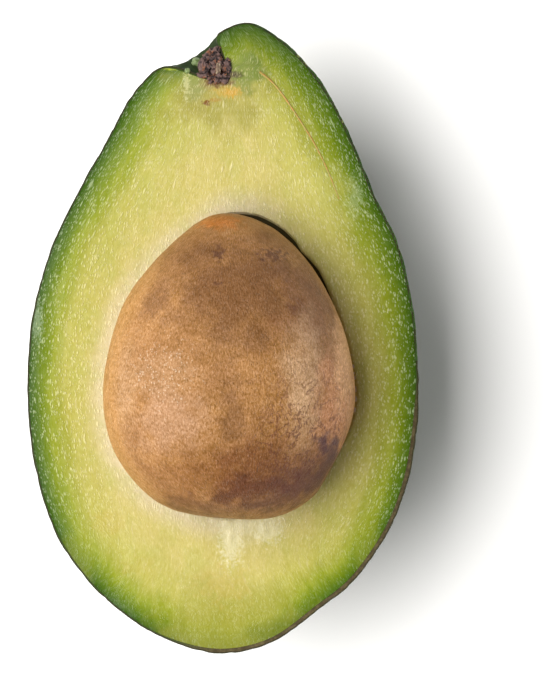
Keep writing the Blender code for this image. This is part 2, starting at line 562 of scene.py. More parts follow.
@dataclass(frozen=True)
class CutFace:
    """The face that the knife left: flat, but for a long fall on the right of a fold."""

    height: float = 0.0330
    fold_x: float = 0.0260
    fold_y: float = -0.0106
    fold_bend: float = 6.8
    fold_softness: float = 0.0022
    fold_slope: float = 0.30

    def level(self, x: Points, y: Points) -> Points:
        """Height of the smooth face.

        Args:
            x: Places to the right.
            y: Places towards the stem.

        Returns:
            The height at each place.
        """
        past_fold = x - (self.fold_x - self.fold_bend * (y - self.fold_y) ** 2)
        upper = 1.0 / (1.0 + np.exp(-(y - self.fold_y) / (3.0 * self.fold_softness)))
        ramp = (past_fold + np.sqrt(past_fold**2 + self.fold_softness**2)) / 2.0
        return self.height - self.fold_slope * ramp * upper

    def knife(self, spacing: float) -> bpy.types.Object:
        """A block over the face, whose underside is the face.

        Args:
            spacing: The size of the squares of its underside.

        Returns:
            The block.
        """
        low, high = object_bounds()
        size = np.array([high[axis] - low[axis] + 6.0 * MM for axis in range(2)])
        squares = np.ceil(size / spacing).astype(int)
        splits = {"x_subdivisions": int(squares[0]), "y_subdivisions": int(squares[1])}
        block = add_shape("knife", bpy.ops.mesh.primitive_grid_add, size=1.0, **splits)
        with editing(block):
            bpy.ops.transform.resize(value=(size[0], size[1], 1.0))
            bpy.context.tool_settings.mesh_select_mode = (False, True, False)
            bpy.ops.mesh.select_all(action="DESELECT")
            bpy.ops.mesh.select_non_manifold(extend=False)
            bpy.ops.mesh.extrude_region_move(
                TRANSFORM_OT_translate={"value": (0.0, 0.0, 3.0 * self.height)}
            )
            bpy.ops.mesh.edge_face_add()
            bpy.ops.mesh.select_all(action="SELECT")
            bpy.ops.mesh.normals_make_consistent(inside=False)
        points = read_points(block)
        under = points[:, 2] < self.height
        points[under, 2] = self.level(points[under, 0], points[under, 1])
        write_points(block, points)
        return block

    def lies_on(self, points: Points) -> Points:
        """Which points lie on the face, as an array of true and false."""
        return np.abs(points[:, 2] - self.level(points[:, 0], points[:, 1])) < 0.004 * MM


CUT = CutFace()
PEEL = PeelWidth()


# Shader building


class Sketch:
    """Places nodes in a node tree, one call a node, and links them as it goes."""

    def __init__(self, tree: bpy.types.NodeTree) -> None:
        """Starts on the tree of a material or of a node group."""
        self.tree = tree

    def feed(self, node: bpy.types.Node, name: str | int, value: object) -> None:
        """Gives one input of a node a value, or the socket that feeds it."""
        if isinstance(value, Socket):
            self.tree.links.new(value, node.inputs[name])
        else:
            node.inputs[name].default_value = value

    def put(self, kind: str, values: dict | None = None, **settings: object) -> bpy.types.Node:
        """Adds a node.

        Args:
            kind: Blender's name for it.
            values: For each input, by name or number, a value or the socket that feeds it.
            settings: The node's own properties.

        Returns:
            The node.
        """
        node = self.tree.nodes.new(kind)
        for name, setting in settings.items():
            setattr(node, name, setting)
        for name, value in (values or {}).items():
            self.feed(node, name, value)
        return node

    def reckon(self, how: str, first: object, second: object = 0.0) -> Socket:
        """Works out one number from two, by Blender's name for the operation."""
        return self.put("ShaderNodeMath", {0: first, 1: second}, operation=how).outputs[0]

    def sum(self, first: object, second: object) -> Socket:
        """Adds two numbers."""
        return self.reckon("ADD", first, second)

    def larger(self, first: object, second: object) -> Socket:
        """The larger of two numbers."""
        return self.reckon("MAXIMUM", first, second)

    def times(self, first: object, *others: object) -> Socket:
        """Multiplies numbers."""
        for other in others:
            first = self.reckon("MULTIPLY", first, other)
        return first

    def axis(self, vector: Socket, index: int) -> Socket:
        """One of a vector's three parts."""
        return self.put("ShaderNodeSeparateXYZ", {0: vector}).outputs[index]

    def remap(self, value: object, low: object, high: object, to: tuple = (0.0, 1.0)) -> Socket:
        """Turns a range of numbers smoothly into another.

        Args:
            value: The number.
            low: What becomes the first of to.
            high: What becomes the second of to.
            to: The new range.

        Returns:
            The new number.
        """
        values = {"Value": value, "From Min": low, "From Max": high, "To Min": to[0], "To Max": to[1]}
        return self.put("ShaderNodeMapRange", values, interpolation_type="SMOOTHSTEP").outputs["Result"]

    def noise(self, place: Socket, scale: object, detail: object, **values: float) -> bpy.types.Node:
        """Adds a noise texture, with any further inputs by their names."""
        return self.put("ShaderNodeTexNoise", {"Vector": place, "Scale": scale, "Detail": detail, **values})

    def mix(self, under: object, over: object, *shares: object) -> Socket:
        """Mixes two colours.

        Args:
            under: The first colour.
            over: The second colour.
            shares: Masks and numbers whose product is how much of the second shows.

        Returns:
            The mixed colour.
        """
        node = self.put("ShaderNodeMix", {0: self.times(*shares)}, data_type="RGBA")
        for index, colour in ((6, under), (7, over)):
            self.feed(node, index, colour if isinstance(colour, Socket) else (*colour, 1.0))
        return node.outputs[2]

    def shade(self, colour: Socket, value: float, saturation: float, *shares: object) -> Socket:
        """Lightens or darkens a colour in part.

        Args:
            colour: The colour.
            value: Its brightness where the share is 1, times what it was.
            saturation: Its saturation there, times what it was.
            shares: Masks and numbers whose product is how much of the change is laid on.

        Returns:
            The changed colour.
        """
        values = {"Color": colour, "Fac": self.times(*shares), "Value": value, "Saturation": saturation}
        return self.put("ShaderNodeHueSaturation", values).outputs[0]

    def ramp(self, value: object, stops: tuple[tuple[float, Colour], ...]) -> Socket:
        """Turns a number into a colour.

        Args:
            value: A number between 0 and 1.
            stops: The places of the colours, from low to high.

        Returns:
            The colour.
        """
        node = self.put("ShaderNodeValToRGB", {0: value})
        elements = node.color_ramp.elements
        while len(elements) < len(stops):
            elements.new(0.5)
        for element, (place, colour) in zip(elements, stops):
            element.position = place
            element.color = (*colour, 1.0)
        return node.outputs["Color"]

    def dots(self, place: Socket, scale: object, size: Socket, share: Socket, spread: tuple) -> Socket:
        """Soft round dots in the cells of a pattern, uneven in size, some cells left empty.

        Args:
            place: Where the pattern is read.
            scale: How many cells there are in a unit.
            size: The dots' size in their cells.
            share: How many of the cells have a dot.
            spread: The smallest and largest dot against the size, and the hard middle's share.

        Returns:
            Their mask.
        """
        cells = self.put("ShaderNodeTexVoronoi", {"Vector": place, "Scale": scale})
        luck = self.put("ShaderNodeSeparateColor", {0: cells.outputs["Color"]})
        shown = self.reckon("LESS_THAN", luck.outputs[0], share)
        size = self.times(size, self.remap(luck.outputs[1], 0.0, 1.0, spread[:2]))
        dot = self.remap(cells.outputs["Distance"], size, self.times(size, spread[2]))
        return self.times(dot, shown)


class MaskSketch(Sketch):
    """A node group that reads a place and puts out one mask."""

    def __init__(self, name: str, **inputs: float | Colour) -> None:
        """Starts the group.

        Args:
            name: The group's name.
            inputs: Its inputs besides the place, with their values at first.
        """
        super().__init__(bpy.data.node_groups.new(name, "ShaderNodeTree"))
        face = self.tree.interface
        for label, value in {"place": (0.0, 0.0, 0.0), **inputs}.items():
            kind = "Vector" if isinstance(value, tuple) else "Float"
            socket = face.new_socket(label, in_out="INPUT", socket_type=f"NodeSocket{kind}")
            socket.default_value = value
        face.new_socket("mask", in_out="OUTPUT", socket_type="NodeSocketFloat")
        self.given = self.put("NodeGroupInput").outputs

    def per(self, label: str) -> Socket:
        """One over an input, which turns a grain's size into a texture's scale."""
        return self.reckon("DIVIDE", 1.0, self.given[label])

    def fibre_place(self) -> Socket:
        """The place counted in grains across and along the fibres, in the pattern of a seed."""
        across = self.reckon("DIVIDE", self.axis(self.given["place"], 0), self.given["across"])
        along = self.reckon("DIVIDE", self.axis(self.given["place"], 1), self.given["along"])
        values = {0: across, 1: along, 2: self.given["seed"]}
        return self.put("ShaderNodeCombineXYZ", values).outputs[0]

    def finish(self, mask: Socket) -> bpy.types.NodeTree:
        """Puts the mask out and returns the finished group."""
        self.put("NodeGroupOutput", {"mask": mask})
        return self.tree


class Effects:
    """The shader effects that more than one finish uses, each built once."""

    def __init__(self) -> None:
        """Builds the groups."""
        self.clouds = self.build_clouds()
        self.strands = self.build_strands()
        self.beads = self.build_beads()
        self.veins = self.build_veins()
        self.spots = self.build_spots()
        self.patch = self.build_patch()

    @staticmethod
    def build_clouds() -> bpy.types.NodeTree:
        """Soft irregular areas of one grain size."""
        sketch = MaskSketch("clouds", grain=0.005, detail=3.0, low=0.4, high=0.6)
        given = sketch.given
        cloud = sketch.noise(given["place"], sketch.per("grain"), given["detail"], Roughness=0.6)
        return sketch.finish(sketch.remap(cloud.outputs["Fac"], given["low"], given["high"]))

    @staticmethod
    def build_strands() -> bpy.types.NodeTree:
        """Long thin marks that run along the fibres."""
        sketch = MaskSketch("strands", across=0.0006, along=0.004, seed=0.0, low=0.4, high=0.6)
        strand = sketch.noise(sketch.fibre_place(), 1.0, 4.0, Roughness=0.62, Distortion=0.25)
        given = sketch.given
        return sketch.finish(sketch.remap(strand.outputs["Fac"], given["low"], given["high"]))

    @staticmethod
    def build_beads() -> bpy.types.NodeTree:
        """Small drops and short dashes strung along the fibres, some cells left empty."""
        sketch = MaskSketch("beads", across=0.0005, along=0.0012, seed=0.0, size=0.30, share=0.5)
        place = sketch.fibre_place()
        bend = sketch.noise(place, 0.9, 2.0)
        values = {0: bend.outputs["Color"], 1: (0.9, 0.9, 0.0), 2: place}
        bent = sketch.put("ShaderNodeVectorMath", values, operation="MULTIPLY_ADD").outputs[0]
        size, share = sketch.given["size"], sketch.given["share"]
        return sketch.finish(sketch.dots(bent, 1.0, size, share, (0.45, 1.35, 0.35)))

    @staticmethod
    def build_veins() -> bpy.types.NodeTree:
        """Thin branching lines."""
        sketch = MaskSketch("veins", grain=0.003, width=0.04)
        place = sketch.given["place"]
        cloud = sketch.noise(place, sketch.per("grain"), 5.0, Roughness=0.62, Distortion=0.6)
        off = sketch.reckon("ABSOLUTE", sketch.reckon("SUBTRACT", cloud.outputs["Fac"], 0.5))
        return sketch.finish(sketch.remap(off, sketch.given["width"], 0.0))

    @staticmethod
    def build_spots() -> bpy.types.NodeTree:
        """Small round spots, some larger than others and some missing."""
        sketch = MaskSketch("spots", spacing=0.002, size=0.25, share=0.5)
        place, size, share = (sketch.given[label] for label in ("place", "size", "share"))
        return sketch.finish(sketch.dots(place, sketch.per("spacing"), size, share, (0.5, 1.3, 0.45)))

    @staticmethod
    def build_patch() -> bpy.types.NodeTree:
        """One soft patch at a place, with a ragged edge."""
        sketch = MaskSketch(
            "patch", centre=(0.0, 0.0, 0.0), reach=(0.003, 0.003, 0.003), ragged=0.6, grain=0.002
        )
        offset = sketch.given["place"]
        for how, label in (("SUBTRACT", "centre"), ("DIVIDE", "reach")):
            values = {0: offset, 1: sketch.given[label]}
            offset = sketch.put("ShaderNodeVectorMath", values, operation=how).outputs[0]
        radius = sketch.put("ShaderNodeVectorMath", {0: offset}, operation="LENGTH").outputs["Value"]
        edge = sketch.noise(sketch.given["place"], sketch.per("grain"), 4.0).outputs["Fac"]
        ragged = sketch.times(sketch.reckon("SUBTRACT", edge, 0.5), sketch.given["ragged"], 2.0)
        return sketch.finish(sketch.remap(sketch.sum(radius, ragged), 1.15, 0.35))


class MaterialSketch(Sketch):
    """A material on a Principled shader, with the shared effects at hand."""

    def __init__(self, name: str, effects: Effects, constants: dict[str, object]) -> None:
        """Starts the material.

        Args:
            name: Its name.
            effects: The shared groups.
            constants: The shader's values that are the same all over.
        """
        self.material = bpy.data.materials.new(name)
        self.material.use_nodes = True
        super().__init__(self.material.node_tree)
        self.effects = effects
        self.shader = self.tree.nodes["Principled BSDF"]
        for label, value in constants.items():
            self.feed(self.shader, label, value)

    @cached_property
    def place(self) -> Socket:
        """The place on the piece, in metres."""
        return self.put("ShaderNodeTexCoord").outputs["Object"]

    @cached_property
    def fibres(self) -> Socket:
        """The UV map that follows the fibres."""
        return self.put("ShaderNodeUVMap", uv_map=Mapped.FIBRES.value).outputs["UV"]

    def attribute(self, mapped: Mapped) -> Socket:
        """Reads a point attribute."""
        return self.put("ShaderNodeAttribute", attribute_name=mapped.value).outputs["Fac"]

    def lay(self, effect: bpy.types.NodeTree, place: Socket, values: dict) -> Socket:
        """Places a shared group, which reads a place and its own values, and gives its mask."""
        return self.put("ShaderNodeGroup", {"place": place, **values}, node_tree=effect).outputs[0]

    def clouds(self, **values: float) -> Socket:
        """Soft areas, given their grain, low, high and detail."""
        return self.lay(self.effects.clouds, self.place, values)

    def spots(self, **values: float) -> Socket:
        """Round spots, given their spacing, size and share."""
        return self.lay(self.effects.spots, self.place, values)

    def strands(self, **values: float) -> Socket:
        """Long marks along the fibres, given across, along, seed, low and high."""
        return self.lay(self.effects.strands, self.fibres, values)

    def beads(self, **values: float) -> Socket:
        """Drops and dashes along the fibres, given across, along, seed, size and share."""
        return self.lay(self.effects.beads, self.fibres, values)

    def finish(self, colour: Socket, gloss: object, height: Socket, strength: float, depth: float) -> None:
        """Feeds the shader.

        Args:
            colour: The colour.
            gloss: The roughness, a number or a socket.
            height: The fine relief's height, 0 to 1.
            strength: How strongly the relief shows.
            depth: How deep it is, in metres.
        """
        values = {"Height": height, "Strength": strength, "Distance": depth}
        normal = self.put("ShaderNodeBump", values).outputs[0]
        for name, value in (("Base Color", colour), ("Roughness", gloss), ("Normal", normal)):
            self.feed(self.shader, name, value)


@dataclass(frozen=True)
class Patch:
    """A soft patch of colour at a place on a piece."""

    centre: Colour
    reach: Colour
    colour: Colour
    strength: float
    ragged: float = 0.6
    grain: float = 0.002

    def share(self, sketch: MaterialSketch) -> Socket:
        """How much of the patch covers each place, up to its strength."""
        values = {name: getattr(self, name) for name in ("centre", "reach", "ragged", "grain")}
        return sketch.times(sketch.lay(sketch.effects.patch, sketch.place, values), self.strength)

    def lay(self, sketch: MaterialSketch, under: object) -> Socket:
        """Lays the patch over a colour."""
        return sketch.mix(under, self.colour, self.share(sketch))


def hand_over(item: bpy.types.Object, material: bpy.types.Material, slot: str, *nodes: str) -> None:
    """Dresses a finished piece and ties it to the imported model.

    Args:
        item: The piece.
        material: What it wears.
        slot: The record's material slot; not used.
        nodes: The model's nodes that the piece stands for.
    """
    item.data.materials.clear()
    item.data.materials.append(material)
    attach(item, BODY)
    if nodes:
        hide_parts(*nodes)
    LOG.info("%s: %d points, %d faces", item.name, len(item.data.vertices), len(item.data.polygons))


# Finishes


class Finish(ABC):
    """What a piece wears: a material's name, its constants and how it is painted."""

    name: str
    constants: dict[str, object]

    @abstractmethod
    def paint(self, sketch: MaterialSketch) -> None:
        """Paints the finish on a new material's sketch."""

    def build(self, effects: Effects) -> bpy.types.Material:
        """Builds the finish's material on the shared groups."""
        sketch = MaterialSketch(self.name, effects, self.constants)
        self.paint(sketch)
        return sketch.material


@dataclass(frozen=True)
class SkinFinish(Finish):
    """Dark green pebbled peel with pale freckles, tan-brown where it is cut thick."""

    name = "avocado_skin"
    constants = {"Specular IOR Level": 0.20}

    deep: Colour = (0.012, 0.028, 0.008)
    green: Colour = (0.040, 0.085, 0.018)
    freckle: Colour = (0.21, 0.24, 0.075)
    scuff: Colour = (0.12, 0.075, 0.035)
    cut_line: Colour = (0.030, 0.024, 0.010)
    cut_green: Colour = (0.030, 0.062, 0.008)
    cut_tan: Colour = (0.050, 0.036, 0.014)
    cut_fleck: Colour = (0.105, 0.082, 0.036)
    # Painted shade: the dimple wall's skin under the stem's lip, darkened and made rougher
    shaded_stem_wall: Patch = Patch(
        (-0.0036, 0.0478, 0.0300), (0.0075, 0.0055, 0.02), (0.018, 0.027, 0.009), 0.85, 0.7, 0.002
    )

    def paint(self, sketch: MaterialSketch) -> None:
        """Paints the outside, and the cut edge by how deep in the peel it lies.

        Args:
            sketch: The material's sketch.
        """
        mottle = sketch.clouds(grain=0.0016, low=0.35, high=0.7)
        freckles = sketch.spots(spacing=0.0019, size=0.26, share=0.62)
        shaded_wall = self.shaded_stem_wall.share(sketch)
        colour = sketch.mix(self.deep, self.green, sketch.clouds(grain=0.009, low=0.38, high=0.64))
        colour = sketch.mix(colour, self.green, mottle, 0.55)
        colour = sketch.mix(colour, self.freckle, freckles, 0.7)
        colour = sketch.mix(colour, self.scuff, sketch.clouds(grain=0.013, low=0.60, high=0.70), 0.55)
        # Painted shade laid on the dimple wall
        colour = sketch.mix(colour, self.shaded_stem_wall.colour, shaded_wall)

        depth = sketch.attribute(Mapped.PEEL_DEPTH)
        on_cut = sketch.remap(depth, 0.01 * MM, 0.05 * MM)
        inner = sketch.remap(depth, 0.14 * MM, 0.34 * MM)
        worn = sketch.clouds(grain=0.0008, low=0.38, high=0.70)
        tan = sketch.mix(self.cut_tan, self.cut_fleck, worn)
        broad = sketch.mix(self.cut_green, tan, sketch.attribute(Mapped.TAN_BAND))
        colour = sketch.mix(colour, sketch.mix(self.cut_line, broad, inner), on_cut)

        gloss = sketch.sum(sketch.remap(mottle, 0.0, 1.0, (0.32, 0.50)), sketch.times(on_cut, 0.35))
        pits = sketch.put("ShaderNodeTexVoronoi", {"Vector": sketch.place, "Scale": 900.0})
        height = sketch.sum(sketch.times(pits.outputs["Distance"], 0.6), sketch.times(freckles, 0.5))
        sketch.finish(colour, sketch.sum(gloss, shaded_wall), height, 0.55, 0.18 * MM)


@dataclass(frozen=True)
class FleshFinish(Finish):
    """Wet fresh-cut flesh, green at the skin and cream at the seed, beaded along its fibres."""

    name = "avocado_flesh"
    constants = {
        "Specular IOR Level": 0.18,
        "Subsurface Weight": 0.15,
        "Subsurface Radius": (1.0, 0.8, 0.3),
        "Subsurface Scale": 0.0016,
    }

    stops: tuple[tuple[float, Colour], ...] = (
        (0.000, (0.018, 0.048, 0.002)),
        (0.030, (0.030, 0.075, 0.004)),
        (0.110, (0.072, 0.130, 0.008)),
        (0.220, (0.145, 0.200, 0.012)),
        (0.330, (0.245, 0.280, 0.030)),
        (0.440, (0.300, 0.305, 0.050)),
        (0.560, (0.388, 0.364, 0.084)),
        (1.000, (0.452, 0.390, 0.128)),
    )
    deepest: float = 2.5
    cream: Colour = (0.55, 0.465, 0.315)
    # Painted highlights: the lighter colours laid where the juice beads catch the light
    bead_glint_stops: tuple[tuple[float, Colour], ...] = (
        (0.000, (0.250, 0.330, 0.185)),
        (0.110, (0.370, 0.450, 0.225)),
        (0.300, (0.520, 0.550, 0.250)),
        (0.560, (0.620, 0.580, 0.270)),
        (1.000, (0.640, 0.575, 0.310)),
    )
    streak: Colour = (0.33, 0.34, 0.070)
    torn: Colour = (0.60, 0.52, 0.28)
    scar: Colour = (0.16, 0.105, 0.060)
    gap_shade: Colour = (0.030, 0.024, 0.008)
    patches: tuple[Patch, ...] = (
        # Olive below the stem end and at the base
        Patch((-0.0010, 0.0395, 0.0330), (0.0100, 0.0065, 0.004), (0.24, 0.222, 0.042), 0.66, 0.8, 0.004),
        Patch((0.0010, -0.0475, 0.0330), (0.0150, 0.0085, 0.004), (0.27, 0.262, 0.045), 0.66, 0.8, 0.005),
        # Painted highlights: pale wet sheen in the green on both sides, and on the bright lip of the notch
        Patch((0.0219, 0.0232, 0.0320), (0.0015, 0.0036, 0.004), (0.38, 0.46, 0.24), 0.34, 1.7, 0.0004),
        Patch((-0.0309, 0.0026, 0.0330), (0.0012, 0.0036, 0.004), (0.28, 0.36, 0.22), 0.45, 1.5, 0.0005),
        Patch((-0.0086, 0.0447, 0.0330), (0.0017, 0.0007, 0.004), (0.44, 0.50, 0.045), 0.80, 0.6, 0.0008),
        # Green beside the stem end, then the stained flesh under it
        Patch((0.0042, 0.0440, 0.0330), (0.0040, 0.0040, 0.004), (0.115, 0.175, 0.040), 0.75, 0.7, 0.002),
        Patch((-0.0046, 0.0412, 0.0330), (0.0022, 0.0034, 0.004), (0.21, 0.24, 0.090), 0.60, 0.8, 0.0014),
        Patch((0.0006, 0.0406, 0.0330), (0.0028, 0.0014, 0.004), (0.42, 0.29, 0.060), 0.70, 1.4, 0.0007),
        Patch((0.0014, 0.0404, 0.0330), (0.0014, 0.0010, 0.004), (0.52, 0.29, 0.050), 0.60, 1.6, 0.0004),
        Patch((-0.0022, 0.0418, 0.0330), (0.0020, 0.0012, 0.004), (0.26, 0.20, 0.08), 0.60, 0.6, 0.0011),
        Patch((-0.0007, 0.0424, 0.0330), (0.0028, 0.0013, 0.004), (0.13, 0.060, 0.028), 0.92, 0.8, 0.0008),
        # Pale torn fibres below the seed
        Patch((0.0012, -0.0337, 0.0330), (0.0024, 0.0048, 0.004), (0.58, 0.54, 0.33), 0.72, 1.4, 0.0005),
        Patch((0.0074, -0.0319, 0.0330), (0.0030, 0.0026, 0.004), (0.58, 0.54, 0.33), 0.66, 1.4, 0.0005),
        Patch((0.0034, -0.0312, 0.0330), (0.0058, 0.0016, 0.004), (0.56, 0.52, 0.31), 0.50, 1.0, 0.0007),
        # Small brown marks by the stem end, and a pale trail at its left that is a painted highlight on the
        # wet flesh
        Patch((0.0021, 0.0434, 0.0330), (0.0014, 0.0007, 0.004), (0.055, 0.040, 0.022), 0.90, 0.6, 0.0007),
        Patch((-0.0028, 0.0387, 0.0330), (0.0008, 0.0005, 0.002), (0.16, 0.060, 0.015), 0.90, 1.4, 0.0004),
        Patch((-0.0014, 0.0392, 0.0330), (0.0012, 0.0004, 0.002), (0.34, 0.19, 0.04), 0.60, 0.7, 0.0006),
        Patch((-0.0061, 0.0417, 0.0330), (0.0007, 0.0024, 0.004), (0.56, 0.53, 0.27), 0.55, 1.7, 0.0004),
        # Painted light: yellow lightening the upper right, where the face curves away from the light; green
        # along the base
        Patch((0.0157, 0.0228, 0.0330), (0.0065, 0.0085, 0.004), (0.50, 0.46, 0.14), 0.40, 0.8, 0.0040),
        Patch((0.0108, -0.0492, 0.0330), (0.0075, 0.0030, 0.004), (0.095, 0.135, 0.014), 0.60, 0.3, 0.0030),
        Patch((-0.0241, -0.0372, 0.0330), (0.0034, 0.0068, 0.004), (0.26, 0.28, 0.035), 0.34, 0.4, 0.0030),
        Patch((0.0236, -0.0345, 0.0330), (0.0030, 0.0064, 0.004), (0.26, 0.28, 0.035), 0.34, 0.4, 0.0030),
        # Warm stains in the lower flesh
        Patch((0.0002, -0.0414, 0.0330), (0.0050, 0.0034, 0.004), (0.46, 0.32, 0.085), 0.22, 1.2, 0.0012),
        Patch((-0.0189, -0.0309, 0.0330), (0.0030, 0.0024, 0.004), (0.44, 0.32, 0.075), 0.24, 1.2, 0.0012),
        Patch((-0.0139, -0.0381, 0.0330), (0.0030, 0.0020, 0.004), (0.44, 0.32, 0.075), 0.20, 1.2, 0.0012),
    )

    def paint(self, sketch: MaterialSketch) -> None:
        """Paints the flesh from the skin inwards, then its patches, some of them painted highlights and
        painted light, its grain with painted shade in the gap by the seed, and its juice beads with painted
        highlights.

        Args:
            sketch: The material's sketch.
        """
        ripeness = sketch.attribute(Mapped.RIPENESS)
        seed_depth = sketch.attribute(Mapped.SEED_DEPTH)
        drift = sketch.strands(across=0.0030, along=0.010, seed=3.0, low=0.25, high=0.75)
        drift = sketch.times(sketch.reckon("SUBTRACT", drift, 0.5), 0.30)
        drift = sketch.times(drift, sketch.remap(ripeness, 0.0, 1.0))
        share = sketch.reckon("DIVIDE", sketch.sum(ripeness, drift), self.deepest)
        colour = sketch.ramp(share, self.stops)
        by_seed = sketch.remap(seed_depth, 0.0055, 0.0004)
        creamy = sketch.remap(sketch.axis(sketch.place, 0), 0.0010, 0.0150, (0.84, 0.10))
        colour = sketch.mix(colour, self.cream, by_seed, sketch.remap(ripeness, 0.8, 2.2), creamy)

        turned = sketch.remap(ripeness, 0.6, 1.6)
        soft = sketch.clouds(grain=0.0045, low=0.42, high=0.70)
        colour = sketch.mix(colour, self.streak, soft, 0.35, turned)
        flecks = sketch.strands(across=0.0007, along=0.0030, seed=7.0, low=0.54, high=0.74)
        colour = sketch.mix(colour, self.cream, flecks, 0.22, turned)
        for patch in self.patches:
            colour = patch.lay(sketch, colour)
        colour = sketch.mix(colour, self.torn, sketch.attribute(Mapped.TORN), 0.22)
        colour = sketch.mix(colour, self.scar, sketch.attribute(Mapped.SCAR))

        colour = self.grain(sketch, colour, seed_depth)
        beads = self.beads(sketch, ripeness, seed_depth)
        # Painted highlights on the juice beads
        colour = sketch.mix(colour, sketch.ramp(share, self.bead_glint_stops), beads, 0.68)

        film = sketch.clouds(grain=0.004, low=0.3, high=0.7)
        fine = sketch.strands(across=0.0005, along=0.0013, seed=11.0, low=0.2, high=0.8)
        height = sketch.sum(sketch.times(fine, 0.14), beads)
        sketch.finish(colour, sketch.remap(film, 0.0, 1.0, (0.13, 0.20)), height, 0.8, 0.09 * MM)

    def grain(self, sketch: MaterialSketch, under: Socket, seed_depth: Socket) -> Socket:
        """Lays the fibres' own uneven tone over a colour, and painted shade in the gap by the seed.

        Args:
            sketch: The material's sketch.
            under: The colour so far.
            seed_depth: The distance to the hollow's edge.

        Returns:
            The changed colour.
        """
        broad = sketch.strands(across=0.0019, along=0.0075, seed=31.0, low=0.44, high=0.66)
        fine = sketch.strands(across=0.00045, along=0.0011, seed=37.0, low=0.46, high=0.64)
        light = sketch.strands(across=0.00040, along=0.0010, seed=41.0, low=0.50, high=0.66)
        colour = sketch.shade(under, 0.91, 1.06, broad, 0.50)
        colour = sketch.shade(colour, 0.87, 1.08, fine, 0.55)
        colour = sketch.shade(colour, 1.22, 0.88, light, 0.60)
        height = sketch.axis(sketch.place, 2)
        sunk = sketch.remap(height, CUT.height - 0.45 * MM, CUT.height - 0.75 * MM)
        return sketch.mix(colour, self.gap_shade, sunk, sketch.remap(seed_depth, 0.0022, 0.0012), 0.92)

    def beads(self, sketch: MaterialSketch, ripeness: Socket, seed_depth: Socket) -> Socket:
        """Juice beaded in drops and dashes, thick in the green band and at the seed's edge; the mask is
        their relief and also where painted highlights lighten the colour.

        Args:
            sketch: The material's sketch.
            ripeness: How far the flesh has turned to yellow.
            seed_depth: The distance to the hollow.

        Returns:
            Their mask.
        """
        dashes = sketch.beads(across=0.00042, along=0.00098, seed=1.0, size=0.38, share=0.90)
        drops = sketch.beads(across=0.00027, along=0.00055, seed=5.0, size=0.42, share=0.80)
        drips = sketch.beads(across=0.0011, along=0.0034, seed=17.0, size=0.22, share=0.36)
        areas = sketch.strands(across=0.0034, along=0.0110, seed=23.0, low=0.18, high=0.44)
        small = sketch.strands(across=0.0022, along=0.0050, seed=29.0, low=0.28, high=0.52)
        green = sketch.remap(ripeness, 2.6, 1.2, (0.35, 1.0))
        near = sketch.remap(seed_depth, 0.0062, 0.0016)
        along, height = sketch.axis(sketch.place, 1), sketch.axis(sketch.place, 2)
        on_face = sketch.remap(height, CUT.height - 0.60 * MM, CUT.height - 0.35 * MM)
        on_face = sketch.larger(on_face, sketch.remap(seed_depth, 0.0012, 0.0022))
        calm_end = sketch.remap(along, -0.040, -0.018, (0.15, 1.0))
        both = sketch.larger(sketch.times(dashes, areas), sketch.times(drops, small))
        both = sketch.times(both, sketch.larger(green, near), calm_end)
        drips = sketch.times(drips, sketch.remap(along, 0.012, 0.026, (0.0, 0.8)))
        return sketch.times(sketch.larger(both, drips), on_face)


